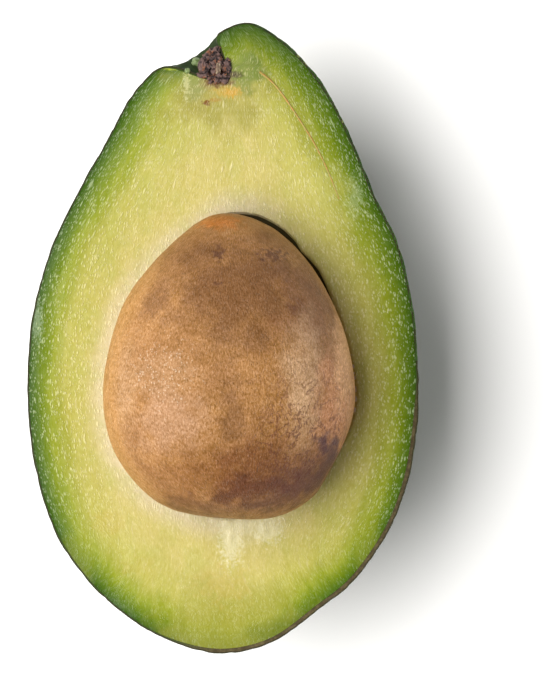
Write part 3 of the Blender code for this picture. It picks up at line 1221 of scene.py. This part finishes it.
@dataclass(frozen=True)
class SeedFinish(Finish):
    """The seed's papery coat: tan and brown, felted, veined and darker in places."""

    name = "avocado_seed"
    constants = {"Specular IOR Level": 0.24}

    tan: Colour = (0.385, 0.190, 0.064)
    brown: Colour = (0.215, 0.090, 0.026)
    orange: Colour = (0.46, 0.23, 0.068)
    veined: Patch = Patch(
        (0.0125, -0.0150, 0.0440), (0.0105, 0.0150, 0.03), (0.105, 0.028, 0.014), 0.80, 0.35, 0.003
    )
    # Painted highlight: pale sheen and sparkle on the left of the middle
    shine: Patch = Patch(
        (-0.0088, -0.0062, 0.052), (0.0058, 0.0062, 0.03), (0.78, 0.62, 0.46), 1.0, 1.2, 0.0014
    )
    patches: tuple[Patch, ...] = (
        # Brown over the top and the right shoulder, orange at the tip
        Patch((0.0030, 0.0065, 0.050), (0.0125, 0.0110, 0.03), (0.165, 0.070, 0.023), 0.80, 0.8, 0.005),
        Patch((0.0135, 0.0045, 0.046), (0.0060, 0.0085, 0.03), (0.185, 0.072, 0.026), 0.55, 1.1, 0.004),
        Patch((-0.0006, 0.0187, 0.040), (0.0046, 0.0018, 0.02), (0.52, 0.17, 0.022), 0.85, 0.9, 0.0012),
        # Dark spots in the brown
        Patch((-0.0004, 0.0131, 0.045), (0.0012, 0.0016, 0.01), (0.075, 0.024, 0.014), 0.70, 1.3, 0.0008),
        Patch((-0.0003, 0.0084, 0.045), (0.0013, 0.0014, 0.01), (0.075, 0.024, 0.014), 0.65, 1.3, 0.0008),
        Patch((0.0083, 0.0130, 0.045), (0.0026, 0.0013, 0.01), (0.075, 0.022, 0.014), 0.70, 1.3, 0.0008),
        Patch((0.0110, 0.0040, 0.045), (0.0016, 0.0044, 0.01), (0.085, 0.026, 0.014), 0.50, 1.2, 0.0014),
        Patch((-0.0100, 0.0052, 0.050), (0.0034, 0.0028, 0.01), (0.16, 0.066, 0.019), 0.50, 1.0, 0.002),
        # Pale on the left of the middle, partly a painted sheen; pale along the right ridge, partly painted
        # light; a brown valley between, partly painted shade
        Patch((-0.0078, -0.0135, 0.052), (0.0066, 0.0064, 0.03), (0.41, 0.230, 0.125), 0.60, 0.9, 0.003),
        Patch((-0.0090, -0.0060, 0.052), (0.0058, 0.0044, 0.03), (0.39, 0.22, 0.105), 0.45, 0.9, 0.003),
        Patch((0.0128, -0.0068, 0.047), (0.0044, 0.0112, 0.02), (0.68, 0.44, 0.25), 0.64, 0.5, 0.004),
        Patch((0.0022, -0.0140, 0.053), (0.0028, 0.0095, 0.03), (0.170, 0.070, 0.018), 0.66, 1.1, 0.0030),
        Patch((-0.0060, -0.0225, 0.045), (0.0100, 0.0052, 0.03), (0.235, 0.092, 0.018), 0.65, 0.9, 0.003),
        Patch((0.0176, -0.0130, 0.042), (0.0038, 0.0120, 0.03), (0.60, 0.27, 0.12), 0.70, 0.6, 0.003),
        Patch((0.0196, -0.0040, 0.040), (0.0022, 0.0100, 0.03), (0.74, 0.42, 0.20), 0.60, 0.8, 0.002),
        # Purple and dark brown at the lower right and along the base, tan at the far left
        Patch((0.0172, -0.0206, 0.042), (0.0030, 0.0062, 0.03), (0.052, 0.011, 0.022), 0.92, 1.1, 0.0026),
        Patch((0.0065, -0.0215, 0.044), (0.0120, 0.0068, 0.03), (0.160, 0.052, 0.012), 0.76, 0.8, 0.0045),
        Patch((0.0060, -0.0250, 0.044), (0.0085, 0.0034, 0.03), (0.080, 0.022, 0.012), 0.62, 1.1, 0.0030),
        Patch((0.0135, -0.0234, 0.042), (0.0052, 0.0030, 0.03), (0.095, 0.024, 0.016), 0.70, 1.2, 0.0022),
        Patch((-0.0158, -0.0080, 0.044), (0.0034, 0.0100, 0.03), (0.52, 0.31, 0.150), 0.42, 0.6, 0.0030),
        Patch((-0.0010, -0.0272, 0.038), (0.0120, 0.0022, 0.03), (0.125, 0.046, 0.012), 0.60, 1.0, 0.003),
    )

    def paint(self, sketch: MaterialSketch) -> None:
        """Paints the coat's broad colours, then its rim, mottling, veins, hairs and a painted sparkle
        highlight.

        Args:
            sketch: The material's sketch.
        """
        colour = sketch.mix(self.tan, self.brown, sketch.clouds(grain=0.009, low=0.36, high=0.66), 0.45)
        for patch in self.patches:
            colour = patch.lay(sketch, colour)
        colour = self.rim(sketch, colour)

        mottle = sketch.clouds(grain=0.0026, detail=8.0, low=0.42, high=0.66)
        fuzz = sketch.clouds(grain=0.00070, detail=6.0, low=0.44, high=0.60)
        colour = sketch.shade(colour, 0.66, 1.12, mottle, 0.45)
        colour = sketch.shade(colour, 0.66, 1.15, fuzz, 0.45)
        stretched = sketch.put("ShaderNodeMapping", {"Vector": sketch.place, "Scale": (1.0, 0.62, 1.0)})
        veins = sketch.lay(sketch.effects.veins, stretched.outputs[0], {"grain": 0.0024, "width": 0.036})
        colour = sketch.mix(colour, self.veined.colour, veins, self.veined.share(sketch))

        hairs = sketch.strands(across=0.00027, along=0.00050, seed=5.0, low=0.46, high=0.64)
        threads = sketch.strands(across=0.00030, along=0.00056, seed=9.0, low=0.47, high=0.63)
        felt_and_sparkle = sketch.beads(across=0.00030, along=0.00036, seed=5.0, size=0.50, share=0.5)
        colour = sketch.shade(colour, 1.50, 0.86, hairs, 0.62)
        colour = sketch.shade(colour, 0.58, 1.20, threads, 0.66)
        # Painted highlight: sparkle laid on the felt dots under the sheen patch
        shine = sketch.remap(self.shine.share(sketch), 0.0, 1.0, (0.04, 0.42))
        colour = sketch.mix(colour, self.shine.colour, felt_and_sparkle, shine)

        wrinkles = sketch.strands(across=0.00040, along=0.0006, seed=2.0, low=0.25, high=0.75)
        relief = sketch.sum(sketch.times(wrinkles, 0.6), sketch.times(felt_and_sparkle, 0.4))
        sketch.finish(colour, sketch.remap(felt_and_sparkle, 0.0, 1.0, (0.50, 0.34)), relief, 0.8, 0.18 * MM)

    def rim(self, sketch: MaterialSketch, under: Socket) -> Socket:
        """Lays the orange-tan rim over a colour: broad on the left side, narrow elsewhere.

        Args:
            sketch: The material's sketch.
            under: The colour so far.

        Returns:
            The colour with the rim on it.
        """
        height = sketch.axis(sketch.place, 2)
        left = sketch.remap(sketch.axis(sketch.place, 0), -0.0070, -0.0150)
        broad = sketch.times(sketch.remap(height, 0.0505, 0.0465), left)
        reach = sketch.larger(broad, sketch.remap(height, 0.0445, 0.0405, (0.0, 0.55)))
        streaks = sketch.strands(across=0.0007, along=0.008, seed=21.0, low=0.25, high=0.65)
        return sketch.mix(under, self.orange, reach, sketch.remap(streaks, 0.0, 1.0, (0.42, 0.78)))


@dataclass(frozen=True)
class BarkFinish(Finish):
    """Dried, cracked stem tissue, purple-black with rust-coloured ridges."""

    name = "dried_stem"
    constants = {"Specular IOR Level": 0.35}

    dark: Colour = (0.010, 0.006, 0.007)
    brown: Colour = (0.120, 0.072, 0.064)
    rust: Colour = (0.24, 0.085, 0.032)
    ash: Colour = (0.32, 0.25, 0.20)

    def paint(self, sketch: MaterialSketch) -> None:
        """Paints the folds dark, partly the tissue's own colour and partly painted shade, the ridges brown
        and rusty, and dusts them with ash.

        Args:
            sketch: The material's sketch.
        """
        fold = sketch.attribute(Mapped.FOLD)
        crumbs = sketch.clouds(grain=0.0009, low=0.52, high=0.64)
        dust = sketch.spots(spacing=0.0007, size=0.35, share=0.35)
        # Dark in the folds: partly the tissue's own colour, partly painted shade
        colour = sketch.mix(self.dark, self.brown, sketch.remap(fold, 0.08, 0.60))
        colour = sketch.mix(colour, self.rust, crumbs, sketch.remap(fold, 0.10, 0.40, (0.0, 0.75)))
        colour = sketch.mix(colour, self.ash, dust, 0.4)
        cracks = sketch.noise(sketch.place, 2600.0, 4.0)
        sketch.finish(colour, 0.75, cracks.outputs["Fac"], 0.8, 0.3 * MM)


@dataclass(frozen=True)
class TissueFinish(Finish):
    """Small loose bits in one colour with a fine uneven tone."""

    constants = {}

    name: str
    base: Colour
    tint: Colour
    roughness: float

    def paint(self, sketch: MaterialSketch) -> None:
        """Paints the uneven tone, which is also the fine relief."""
        tone = sketch.clouds(grain=0.0007, low=0.35, high=0.65)
        sketch.finish(sketch.mix(self.base, self.tint, tone), self.roughness, tone, 0.5, 0.1 * MM)


# Pieces


class Piece(ABC):
    """A piece of the avocado: its form, what it wears and what it stands for."""

    slot: str
    nodes: tuple[str, ...] = ()
    smooth_to: float = 180.0
    finish: Finish

    @abstractmethod
    def shape(self) -> bpy.types.Object:
        """Builds the piece's form."""

    def build(self, effects: Effects) -> None:
        """Builds the finished piece.

        Args:
            effects: The shared groups.
        """
        item = self.shape()
        smooth(item, self.smooth_to)
        hand_over(item, self.finish.build(effects), self.slot, *self.nodes)


@dataclass
class Skin(Piece):
    """The peel: a thin pebbled shell, open at the cut face and pressed in round the stem."""

    slot = "skin"
    nodes = ("skin",)
    smooth_to = 40.0

    knife: bpy.types.Object
    splits: tuple[int, ...] = (13, 9)
    lining_splits: tuple[int, ...] = (11, 5)
    pebble_spacing: float = 0.0048
    pebble_height: float = 0.00050
    grain_spacing: float = 0.0019
    grain_height: float = 0.00022
    fade: float = 0.0040
    ground_size: float = 0.3
    finish: SkinFinish = field(default_factory=SkinFinish)

    def relief(self, points: Points) -> Points:
        """Height of the pebbles and their grain at points of the smooth skin."""
        pebbles = lumps_at(points, self.pebble_spacing, 1.7) - 0.5
        grains = lumps_at(points, self.grain_spacing, 2.0) - 0.6
        fade = np.clip(points[:, 2] / self.fade, 0.0, 1.0)
        calm = 1.0 - 0.65 * soft_step(points[:, 2], CUT.height - 9.0 * MM, CUT.height - 1.0 * MM)
        return (self.pebble_height * pebbles + self.grain_height * grains) * fade * calm

    def body(self, name: str, splits: tuple[int, ...], lining: bool) -> bpy.types.Object:
        """The whole fruit's outside, or the inside of its peel.

        Args:
            name: The object's name.
            splits: How finely it is split.
            lining: True for the inside.

        Returns:
            The body.
        """
        ball = FRUIT.ball(name, splits)
        points = read_points(ball)
        inset = PEEL.at(points) if lining else np.zeros(len(points))
        low = points[:, 2] < 1.4 * CUT.height
        relief = np.zeros(len(points))
        if not lining:
            relief[low] = self.relief(points[low])
        points = points + read_normals(ball) * (relief - inset)[:, None]
        write_points(ball, DIMPLE.press(points, inset))
        return ball

    def shape(self) -> bpy.types.Object:
        """Cuts the lining, the top and what would be under the ground out of the outside."""
        skin = self.body("peel", self.splits, lining=False)
        lining = self.body("lining", self.lining_splits, lining=True)
        place = (0.0, 0.0, -self.ground_size / 2.0)
        ground = add_shape("ground", bpy.ops.mesh.primitive_cube_add, size=self.ground_size, location=place)
        cut(skin, lining, self.knife, ground)
        discard(lining, ground)
        points = read_points(skin)
        rim = CUT.lies_on(points)
        depth = np.zeros(len(points))
        depth[rim] = distance_to(points[rim], self.outer_edge(skin, rim))
        store_values(skin, Mapped.PEEL_DEPTH, depth)
        store_values(skin, Mapped.TAN_BAND, on_thick_side(points, 38.0, 54.0))
        points[rim, 2] += CutRelief().lift(points[rim])
        write_points(skin, points)
        return skin

    @staticmethod
    def outer_edge(skin: bpy.types.Object, rim: Points) -> Points:
        """The outer edge of the cut, among the points that lie on it.

        Args:
            skin: The cut skin.
            rim: Which of its points lie on the cut face.

        Returns:
            Rows of x and y.
        """
        points = read_points(skin)
        outwards = points[:, :2] - np.array(FACE_MIDDLE)
        outwards /= np.linalg.norm(outwards, axis=1)[:, None]
        facing = (read_normals(skin)[:, :2] * outwards).sum(1)
        return points[rim & (facing > 0.2)][:, :2]


@dataclass(frozen=True)
class CutRelief:
    """The uneven surface that the knife and the pull of the two halves leave."""

    wave_height: float = 0.00015
    ridge_height: float = 0.000025
    fibre_height: float = 0.000010
    torn_height: float = 0.00016
    torn_centre: tuple[float, float] = (0.0042, -0.0318)
    torn_reach: tuple[float, float] = (0.0066, 0.0058)

    def torn(self, points: Points) -> Points:
        """Where fibres are torn up below the seed, 0 to 1 for each point of the face."""
        offset = (points[:, :2] - np.array(self.torn_centre)) / np.array(self.torn_reach)
        ragged = 0.60 * grain_at(points, (0.0014, 0.0046, 0.01), 4.0)
        return 1.0 - soft_step(np.linalg.norm(offset, axis=1) + ragged, 0.30, 1.00)

    def lift(self, points: Points) -> Points:
        """Height of the relief over the smooth face, for each of its points."""
        across = FRUIT.across(points)
        fibre = np.column_stack([across, points[:, 1], np.zeros(len(points))])
        waves = grain_at(fibre, (0.0085, 0.0200, 1.0), 1.5)
        ridges = grain_at(fibre, (0.0019, 0.0110, 1.0), 6.5)
        fibres = grain_at(fibre, (0.0008, 0.0034, 1.0), 9.5)
        return self.wave_height * waves + self.ridge_height * ridges + self.fibre_height * fibres


@dataclass
class Flesh(Piece):
    """The flesh: the fruit inside its skin, with the seed's hollow and the knife's face."""

    slot = "flesh"
    nodes = ("flesh",)
    smooth_to = 50.0

    knife: bpy.types.Object
    splits: tuple[int, ...] = (11, 5)
    hollow_splits: tuple[int, ...] = (9, 6)
    green_depth: float = 0.0050
    green_swell: Widening = Widening(70.0, 48.0, 1.4 * MM)
    peel_gap: float = 0.00003
    clearance: float = 0.00005
    swells: tuple[Widening, ...] = (Widening(-10.0, 30.0, 1.05 * MM), Widening(-84.0, 14.0, 0.80 * MM))
    gap: tuple[tuple[float, float], ...] = (
        (5.0, 0.00), (20.0, 0.45), (32.0, 1.00), (41.0, 1.60), (48.0, 2.00), (54.0, 1.95),
        (58.0, 1.85), (62.0, 2.35), (68.0, 2.65), (78.0, 2.75), (88.0, 2.20), (97.0, 0.00),
    )
    edge_round: float = 0.00040
    lip_height: float = 0.00008
    finish: FleshFinish = field(default_factory=FleshFinish)

    def room(self, places: Points) -> Points:
        """The space round the seed at places given as rows that start with x and y."""
        bearings, widths = np.array(self.gap).T
        upper_right = np.interp(bearing(places), bearings, widths) * MM
        return self.clearance + upper_right + sum(swell.at(places) for swell in self.swells)

    def hollow(self) -> bpy.types.Object:
        """The hollow that the seed lies in."""
        ball = SEED.ball("hollow", self.hollow_splits)
        points = read_points(ball)
        write_points(ball, points + read_normals(ball) * self.room(points)[:, None])
        return ball

    def shape(self) -> bpy.types.Object:
        """Cuts the hollow and the top out of the fruit inside its skin, and works the face."""
        flesh = FRUIT.ball("flesh_half", self.splits)
        points = read_points(flesh)
        inset = PEEL.at(points) + self.peel_gap
        points = points - read_normals(flesh) * inset[:, None]
        write_points(flesh, DIMPLE.press(points, inset))
        hollow = self.hollow()
        cut(flesh, hollow, self.knife)
        discard(hollow)
        self.shape_face(flesh)
        return flesh

    def rim_line(self) -> Points:
        """The hollow's outline in the cut plane, as rows of x and y."""
        line = SEED.outline(CUT.height)
        run = np.roll(line, -1, axis=0) - np.roll(line, 1, axis=0)
        away = np.column_stack([-run[:, 1], run[:, 0]])
        away /= np.maximum(np.linalg.norm(away, axis=1), 1e-9)[:, None]
        return line + away * self.room(line)[:, None]

    def ripeness(self, points: Points) -> Points:
        """How far from the green of the skin the flesh has turned to yellow.

        Args:
            points: Points of the flesh.

        Returns:
            0 at the skin, about 1 where green has given way to yellow, and more further in.
        """
        green = self.green_depth + self.green_swell.at(points)
        turned = distance_to(points, FRUIT.outline(CUT.height)) / green
        from_stem = np.hypot((points[:, 0] + 0.0012) / 0.0058, (points[:, 1] - 0.0395) / 0.0036)
        pale = bell(from_stem, 0.0, 1.0)
        return turned * (1.0 + 0.9 * pale) + 0.5 * pale

    def shape_face(self, flesh: bpy.types.Object) -> None:
        """Gives the face its relief and stores what its finish reads.

        Args:
            flesh: The cut body.
        """
        points = read_points(flesh)
        face = CUT.lies_on(points)
        seed_depth = distance_to(points, self.rim_line())
        store_values(flesh, Mapped.RIPENESS, self.ripeness(points))
        store_values(flesh, Mapped.SEED_DEPTH, seed_depth)

        relief = CutRelief()
        torn = np.zeros(len(points))
        torn[face] = relief.torn(points[face])
        store_values(flesh, Mapped.TORN, torn)
        dimple_floor = DIMPLE.at(DIMPLE.depth)
        from_stem = np.linalg.norm(points[:, :2] - np.array(dimple_floor[:2]), axis=1)
        near_notch = np.where(face, bell(from_stem, 0.0, 0.0011), 0.0)
        store_values(flesh, Mapped.SCAR, np.clip(near_notch, 0.0, 1.0))

        lift = relief.lift(points[face])
        clumps = 0.5 + grain_at(points[face], (0.0010, 0.0019, 0.01), 8.0)
        lift += relief.torn_height * torn[face] * np.clip(clumps, 0.0, 1.2)
        near = seed_depth[face]
        lift += self.lip_height * bell(near, 1.6 * self.edge_round, 1.1 * self.edge_round)
        inward = np.clip(1.0 - near / self.edge_round, 0.0, 1.0)
        lift -= self.edge_round * (1.0 - np.sqrt(1.0 - inward**2 * 0.96))
        points[face, 2] += lift
        store_fibre_map(flesh, FRUIT.across(points), points[:, 1])
        write_points(flesh, points)


@dataclass
class Seed(Piece):
    """The seed, whole and half sunk in the flesh."""

    slot = "seed"
    nodes = ("seed",)

    splits: tuple[int, ...] = (9, 9)
    swell_height: float = 0.00030
    crease_height: float = 0.00006
    ridge_height: float = 0.00030
    valley_depth: float = 0.00038
    map_radius: float = 0.020
    finish: SeedFinish = field(default_factory=SeedFinish)

    def shape(self) -> bpy.types.Object:
        """Swells a ball to the seed, with low swells, creases, a ridge and a valley."""
        seed = swollen_cube("seed_whole", self.splits)
        directions = read_points(seed)
        write_points(seed, SEED.body(directions))
        points = read_points(seed)
        swell = grain_at(points, (0.0110, 0.0150, 0.0110), 2.0)
        creases = grain_at(points, (0.0016, 0.0042, 0.0016), 5.0)
        crease_line = 0.0010 + 0.06 * (points[:, 1] + 0.012)
        valley = bell(points[:, 0], crease_line, 0.0024) * bell(points[:, 1], -0.0125, 0.0110)
        ridge = bell(points[:, 0], 0.0136, 0.0030) * bell(points[:, 1], -0.0060, 0.0100)
        out = self.swell_height * swell + self.crease_height * creases
        out += self.ridge_height * ridge - self.valley_depth * valley
        write_points(seed, points + read_normals(seed) * out[:, None])
        turn = np.arctan2(directions[:, 0], directions[:, 2])
        store_fibre_map(seed, turn * self.map_radius, points[:, 1])
        return seed


@dataclass(frozen=True)
class Petal:
    """A withered scale of the stem end, measured from the dimple's mouth."""

    inward: float
    aside: float
    up: float
    reach: Colour
    turn: float


@dataclass
class StemEnd(Piece):
    """The dried end of the stem, crumpled and torn, on the dimple's floor."""

    slot = "stem_end"
    nodes = ("stem_end",)
    smooth_to = 60.0

    reach: Colour = (0.0026, 0.0024, 0.0016)
    inward: float = 0.0040
    sunk: float = 0.0016
    crumple: float = 0.0013
    fold: float = 0.00095
    flatness: float = 0.55
    petals: tuple[Petal, ...] = (
        Petal(0.0019, -0.0010, 0.0000, (0.0014, 0.0006, 0.0004), 0.5),
        Petal(0.0053, -0.0014, -0.0001, (0.0006, 0.0014, 0.0005), 0.1),
        Petal(0.0060, 0.0010, 0.0000, (0.0019, 0.0007, 0.0004), 0.05),
        Petal(0.0029, 0.0018, 0.0001, (0.0009, 0.0013, 0.0005), 0.3),
        Petal(0.0043, 0.0026, -0.0002, (0.0014, 0.0004, 0.0004), -0.4),
        Petal(0.0037, -0.0002, 0.0000, (0.0013, 0.0012, 0.0005), 0.0),
    )
    finish: BarkFinish = field(default_factory=BarkFinish)

    def crumpled(self, name: str, centre: Vector, reach: Colour, turn: float) -> bpy.types.Object:
        """A lump with sharp uneven folds.

        Args:
            name: The object's name.
            centre: Its middle.
            reach: Its half sizes.
            turn: How far it is turned about the vertical.

        Returns:
            The lump.
        """
        lump = swollen_cube(name, (6, 5))
        points = read_points(lump)
        unit = points / np.linalg.norm(points, axis=1)[:, None]
        cos, sin = math.cos(turn), math.sin(turn)
        flat = np.sign(unit[:, 2]) * np.abs(unit[:, 2]) ** self.flatness
        x, y, z = (np.column_stack([unit[:, :2], flat]) * np.array(reach)).T
        placed = np.column_stack([x * cos - y * sin, x * sin + y * cos, z])
        folds = np.array(
            [
                abs(noise.noise(Vector(point))) + 0.6 * abs(noise.noise(Vector(point) * 2.4))
                for point in (placed + np.array(centre)) / self.fold
            ]
        )
        out = self.crumple * (reach[0] / self.reach[0]) * (folds - 0.30)
        write_points(lump, placed + unit * out[:, None] + np.array(centre))
        store_values(lump, Mapped.FOLD, folds)
        return lump

    def shape(self) -> bpy.types.Object:
        """Joins the stub and its withered scales."""
        pieces = [self.crumpled("stem_stub", DIMPLE.at(self.inward, up=-self.sunk), self.reach, 0.0)]
        for index, petal in enumerate(self.petals):
            centre = DIMPLE.at(petal.inward, petal.aside, petal.up)
            pieces.append(self.crumpled(f"stem_scale_{index}", centre, petal.reach, petal.turn))
        return join(pieces)


@dataclass(frozen=True)
class Bit:
    """One small lump: where it lies, how large it is and how lumpy."""

    centre: Colour
    reach: Colour
    lumpiness: float = 0.25

    def build(self, name: str) -> bpy.types.Object:
        """Builds the lump under a name."""
        ball = swollen_cube(name, (6, 3))
        unit = read_points(ball)
        unit = unit / np.linalg.norm(unit, axis=1)[:, None]
        bumps = 1.0 + self.lumpiness * grain_at(unit * 1.7, (1.0, 1.0, 1.0), self.centre[0] * 1e4)
        write_points(ball, unit * bumps[:, None] * np.array(self.reach) + np.array(self.centre))
        return ball


@dataclass
class LooseBits(Piece):
    """Lumps of one tissue that lie close together, joined into one piece."""

    name: str
    slot: str
    bits: tuple[Bit, ...]
    finish: TissueFinish

    def shape(self) -> bpy.types.Object:
        """Builds the bits and joins them."""
        piece = join([bit.build(f"{self.name}_{index}") for index, bit in enumerate(self.bits)])
        piece.name = self.name
        return piece


@dataclass
class Strand(Piece):
    """A thin rust-coloured vessel that shows in the cut face, from beside the stem."""

    slot = "flesh"

    route: tuple[tuple[float, float], ...] = (
        (0.0060, 0.0439), (0.0080, 0.0425), (0.0094, 0.0407), (0.0106, 0.0391),
        (0.0128, 0.0357), (0.0148, 0.0327), (0.0169, 0.0286), (0.0181, 0.0258), (0.0192, 0.0228),
    )
    radius: float = 0.00022
    sunk: float = 0.00004
    finish: TissueFinish = TissueFinish("vessel", (0.40, 0.19, 0.032), (0.30, 0.25, 0.05), 0.40)

    def shape(self) -> bpy.types.Object:
        """Lays a thinning round cord along the route, on the face's relief."""
        curve = bpy.data.curves.new("vessel_strand", "CURVE")
        curve.dimensions = "3D"
        curve.bevel_depth = self.radius
        curve.bevel_resolution = 2
        curve.use_fill_caps = True
        line = curve.splines.new("NURBS")
        line.points.add(len(self.route) - 1)
        line.order_u = 4
        line.use_endpoint_u = True
        line.resolution_u = 8
        route = np.array([(x, y, 0.0) for x, y in self.route])
        level = CUT.level(route[:, 0], route[:, 1]) + CutRelief().lift(route)
        for index, (point, (x, y)) in enumerate(zip(line.points, self.route)):
            point.co = (x, y, level[index] - self.sunk, 1.0)
            point.radius = 1.0 - 0.60 * index / (len(self.route) - 1)
        strand = link_new("vessel_strand", curve)
        select_only(strand)
        bpy.ops.object.convert(target="MESH")
        return strand


@dataclass
class CoatScrap(Piece):
    """A scrap of the seed's papery coat that stands in the gap on the seed's right."""

    slot = "seed"
    smooth_to = 60.0

    stretch: tuple[float, float] = (-0.0135, -0.0025)
    splits: tuple[int, int] = (3, 48)
    off_seed: float = 0.00005
    width: float = 0.0003
    depth: float = 0.0002
    raggedness: float = 0.0004
    thickness: float = 0.00012
    finish: TissueFinish = TissueFinish("papery_coat", (0.42, 0.38, 0.33), (0.60, 0.56, 0.50), 0.6)

    def shape(self) -> bpy.types.Object:
        """Bends a thin ragged sheet along the seed's right edge."""
        splits = dict(zip(("x_subdivisions", "y_subdivisions"), self.splits))
        scrap = add_shape("coat_scrap", bpy.ops.mesh.primitive_grid_add, size=1.0, **splits)
        points = read_points(scrap)
        low, high = self.stretch
        along = low + (points[:, 1] + 0.5) * (high - low)
        right = SEED.edges(SEED.stations())[1]
        reach = np.interp(along, *EggForm.rising(right))
        ragged = grain_at(np.column_stack([along, along, along]), (0.0009, 0.5, 0.5), 7.0)
        tilt = (points[:, 0] + 0.5) * self.width
        height = CUT.height - self.depth + self.raggedness * ragged + 0.5 * tilt
        write_points(scrap, np.column_stack([reach + self.off_seed + tilt, along, height]))
        apply_modifier(scrap, "SOLIDIFY", thickness=self.thickness)
        return scrap


# Stage


@dataclass(frozen=True)
class Softbox:
    """A soft rectangular light that faces the cut face's middle."""

    name: str
    power: float
    size: tuple[float, float]
    distance: float
    height: float
    bearing: float

    def build(self) -> None:
        """Builds the light, its height and bearing taken as degrees seen from the fruit."""
        light = bpy.data.lights.new(self.name, "AREA")
        light.shape = "RECTANGLE"
        light.size, light.size_y = self.size
        light.energy = self.power
        light.color = (1.0, 0.985, 0.96)
        item = link_new(self.name, light)
        turn, rise = math.radians(self.bearing), math.radians(self.height)
        level = math.cos(rise)
        towards = Vector((math.cos(turn) * level, math.sin(turn) * level, math.sin(rise)))
        item.location = towards * self.distance + Vector((0.0, 0.0, CUT.height))
        item.rotation_euler = (0.0, math.pi / 2.0 - rise, turn)


@dataclass
class Stage:
    """A plain pale floor, a large soft light from the left, a low one, and the camera above."""

    floor_size: float = 6.0
    floor_tone: float = 0.98
    sky: float = 0.13
    key: Softbox = Softbox("key", 24.5, (0.90, 1.25), 1.0, 56.0, 180.0)
    fill: Softbox = Softbox("fill", 3.6, (0.30, 0.80), 1.0, 13.0, -4.0)
    lens: float = 150.9
    camera_place: Colour = (0.00867, -0.00158, 0.5136)

    def build(self, effects: Effects) -> None:
        """Builds the floor, the lights and the camera.

        Args:
            effects: The shared groups.
        """
        floor = add_shape("floor", bpy.ops.mesh.primitive_plane_add, size=self.floor_size)
        tone = (self.floor_tone,) * 3
        matt = {"Base Color": (*tone, 1.0), "Roughness": 0.9, "Specular IOR Level": 0.1}
        floor.data.materials.append(MaterialSketch("floor", effects, matt).material)
        floor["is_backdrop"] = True

        world = bpy.data.worlds.new("studio")
        world.use_nodes = True
        backdrop = world.node_tree.nodes["Background"]
        backdrop.inputs["Color"].default_value = (1.0, 0.995, 0.985, 1.0)
        backdrop.inputs["Strength"].default_value = self.sky
        bpy.context.scene.world = world

        self.key.build()
        self.fill.build()

        lens = bpy.data.cameras.new("camera")
        lens.lens = self.lens
        lens.clip_start = 0.01
        camera = link_new("camera", lens)
        camera.location = self.camera_place
        bpy.context.scene.camera = camera
        bpy.context.scene.view_settings.view_transform = "Standard"


FLESH_BITS = LooseBits(
    name="flesh_bits",
    slot="flesh",
    bits=(
        Bit((-0.0044, 0.0456, 0.0301), (0.0010, 0.0009, 0.0009)),
        Bit((0.0006, 0.0476, 0.0320), (0.0011, 0.0008, 0.0009)),
        Bit((-0.0059, 0.0440, 0.0329), (0.0005, 0.0005, 0.0004)),
    ),
    finish=TissueFinish("flesh_bits", (0.085, 0.130, 0.032), (0.17, 0.23, 0.08), 0.45),
)
PITH = LooseBits(
    name="pith",
    slot="stem_end",
    bits=(Bit((-0.0008, 0.0444, 0.0334), (0.0005, 0.0009, 0.0006), 0.5),),
    finish=TissueFinish("pith", (0.27, 0.21, 0.14), (0.17, 0.11, 0.07), 0.6),
)


def main() -> None:
    """Builds the stage and each piece in order."""
    logging.basicConfig(level=logging.INFO, format="%(name)s %(message)s")
    effects = Effects()
    Stage().build(effects)
    knife = CUT.knife(spacing=0.00036)
    for piece in (Skin(knife), Flesh(knife)):
        piece.build(effects)
    discard(knife)
    for piece in (Seed(), CoatScrap(), StemEnd(), FLESH_BITS, PITH, Strand()):
        piece.build(effects)


if __name__ == "__main__":
    main()
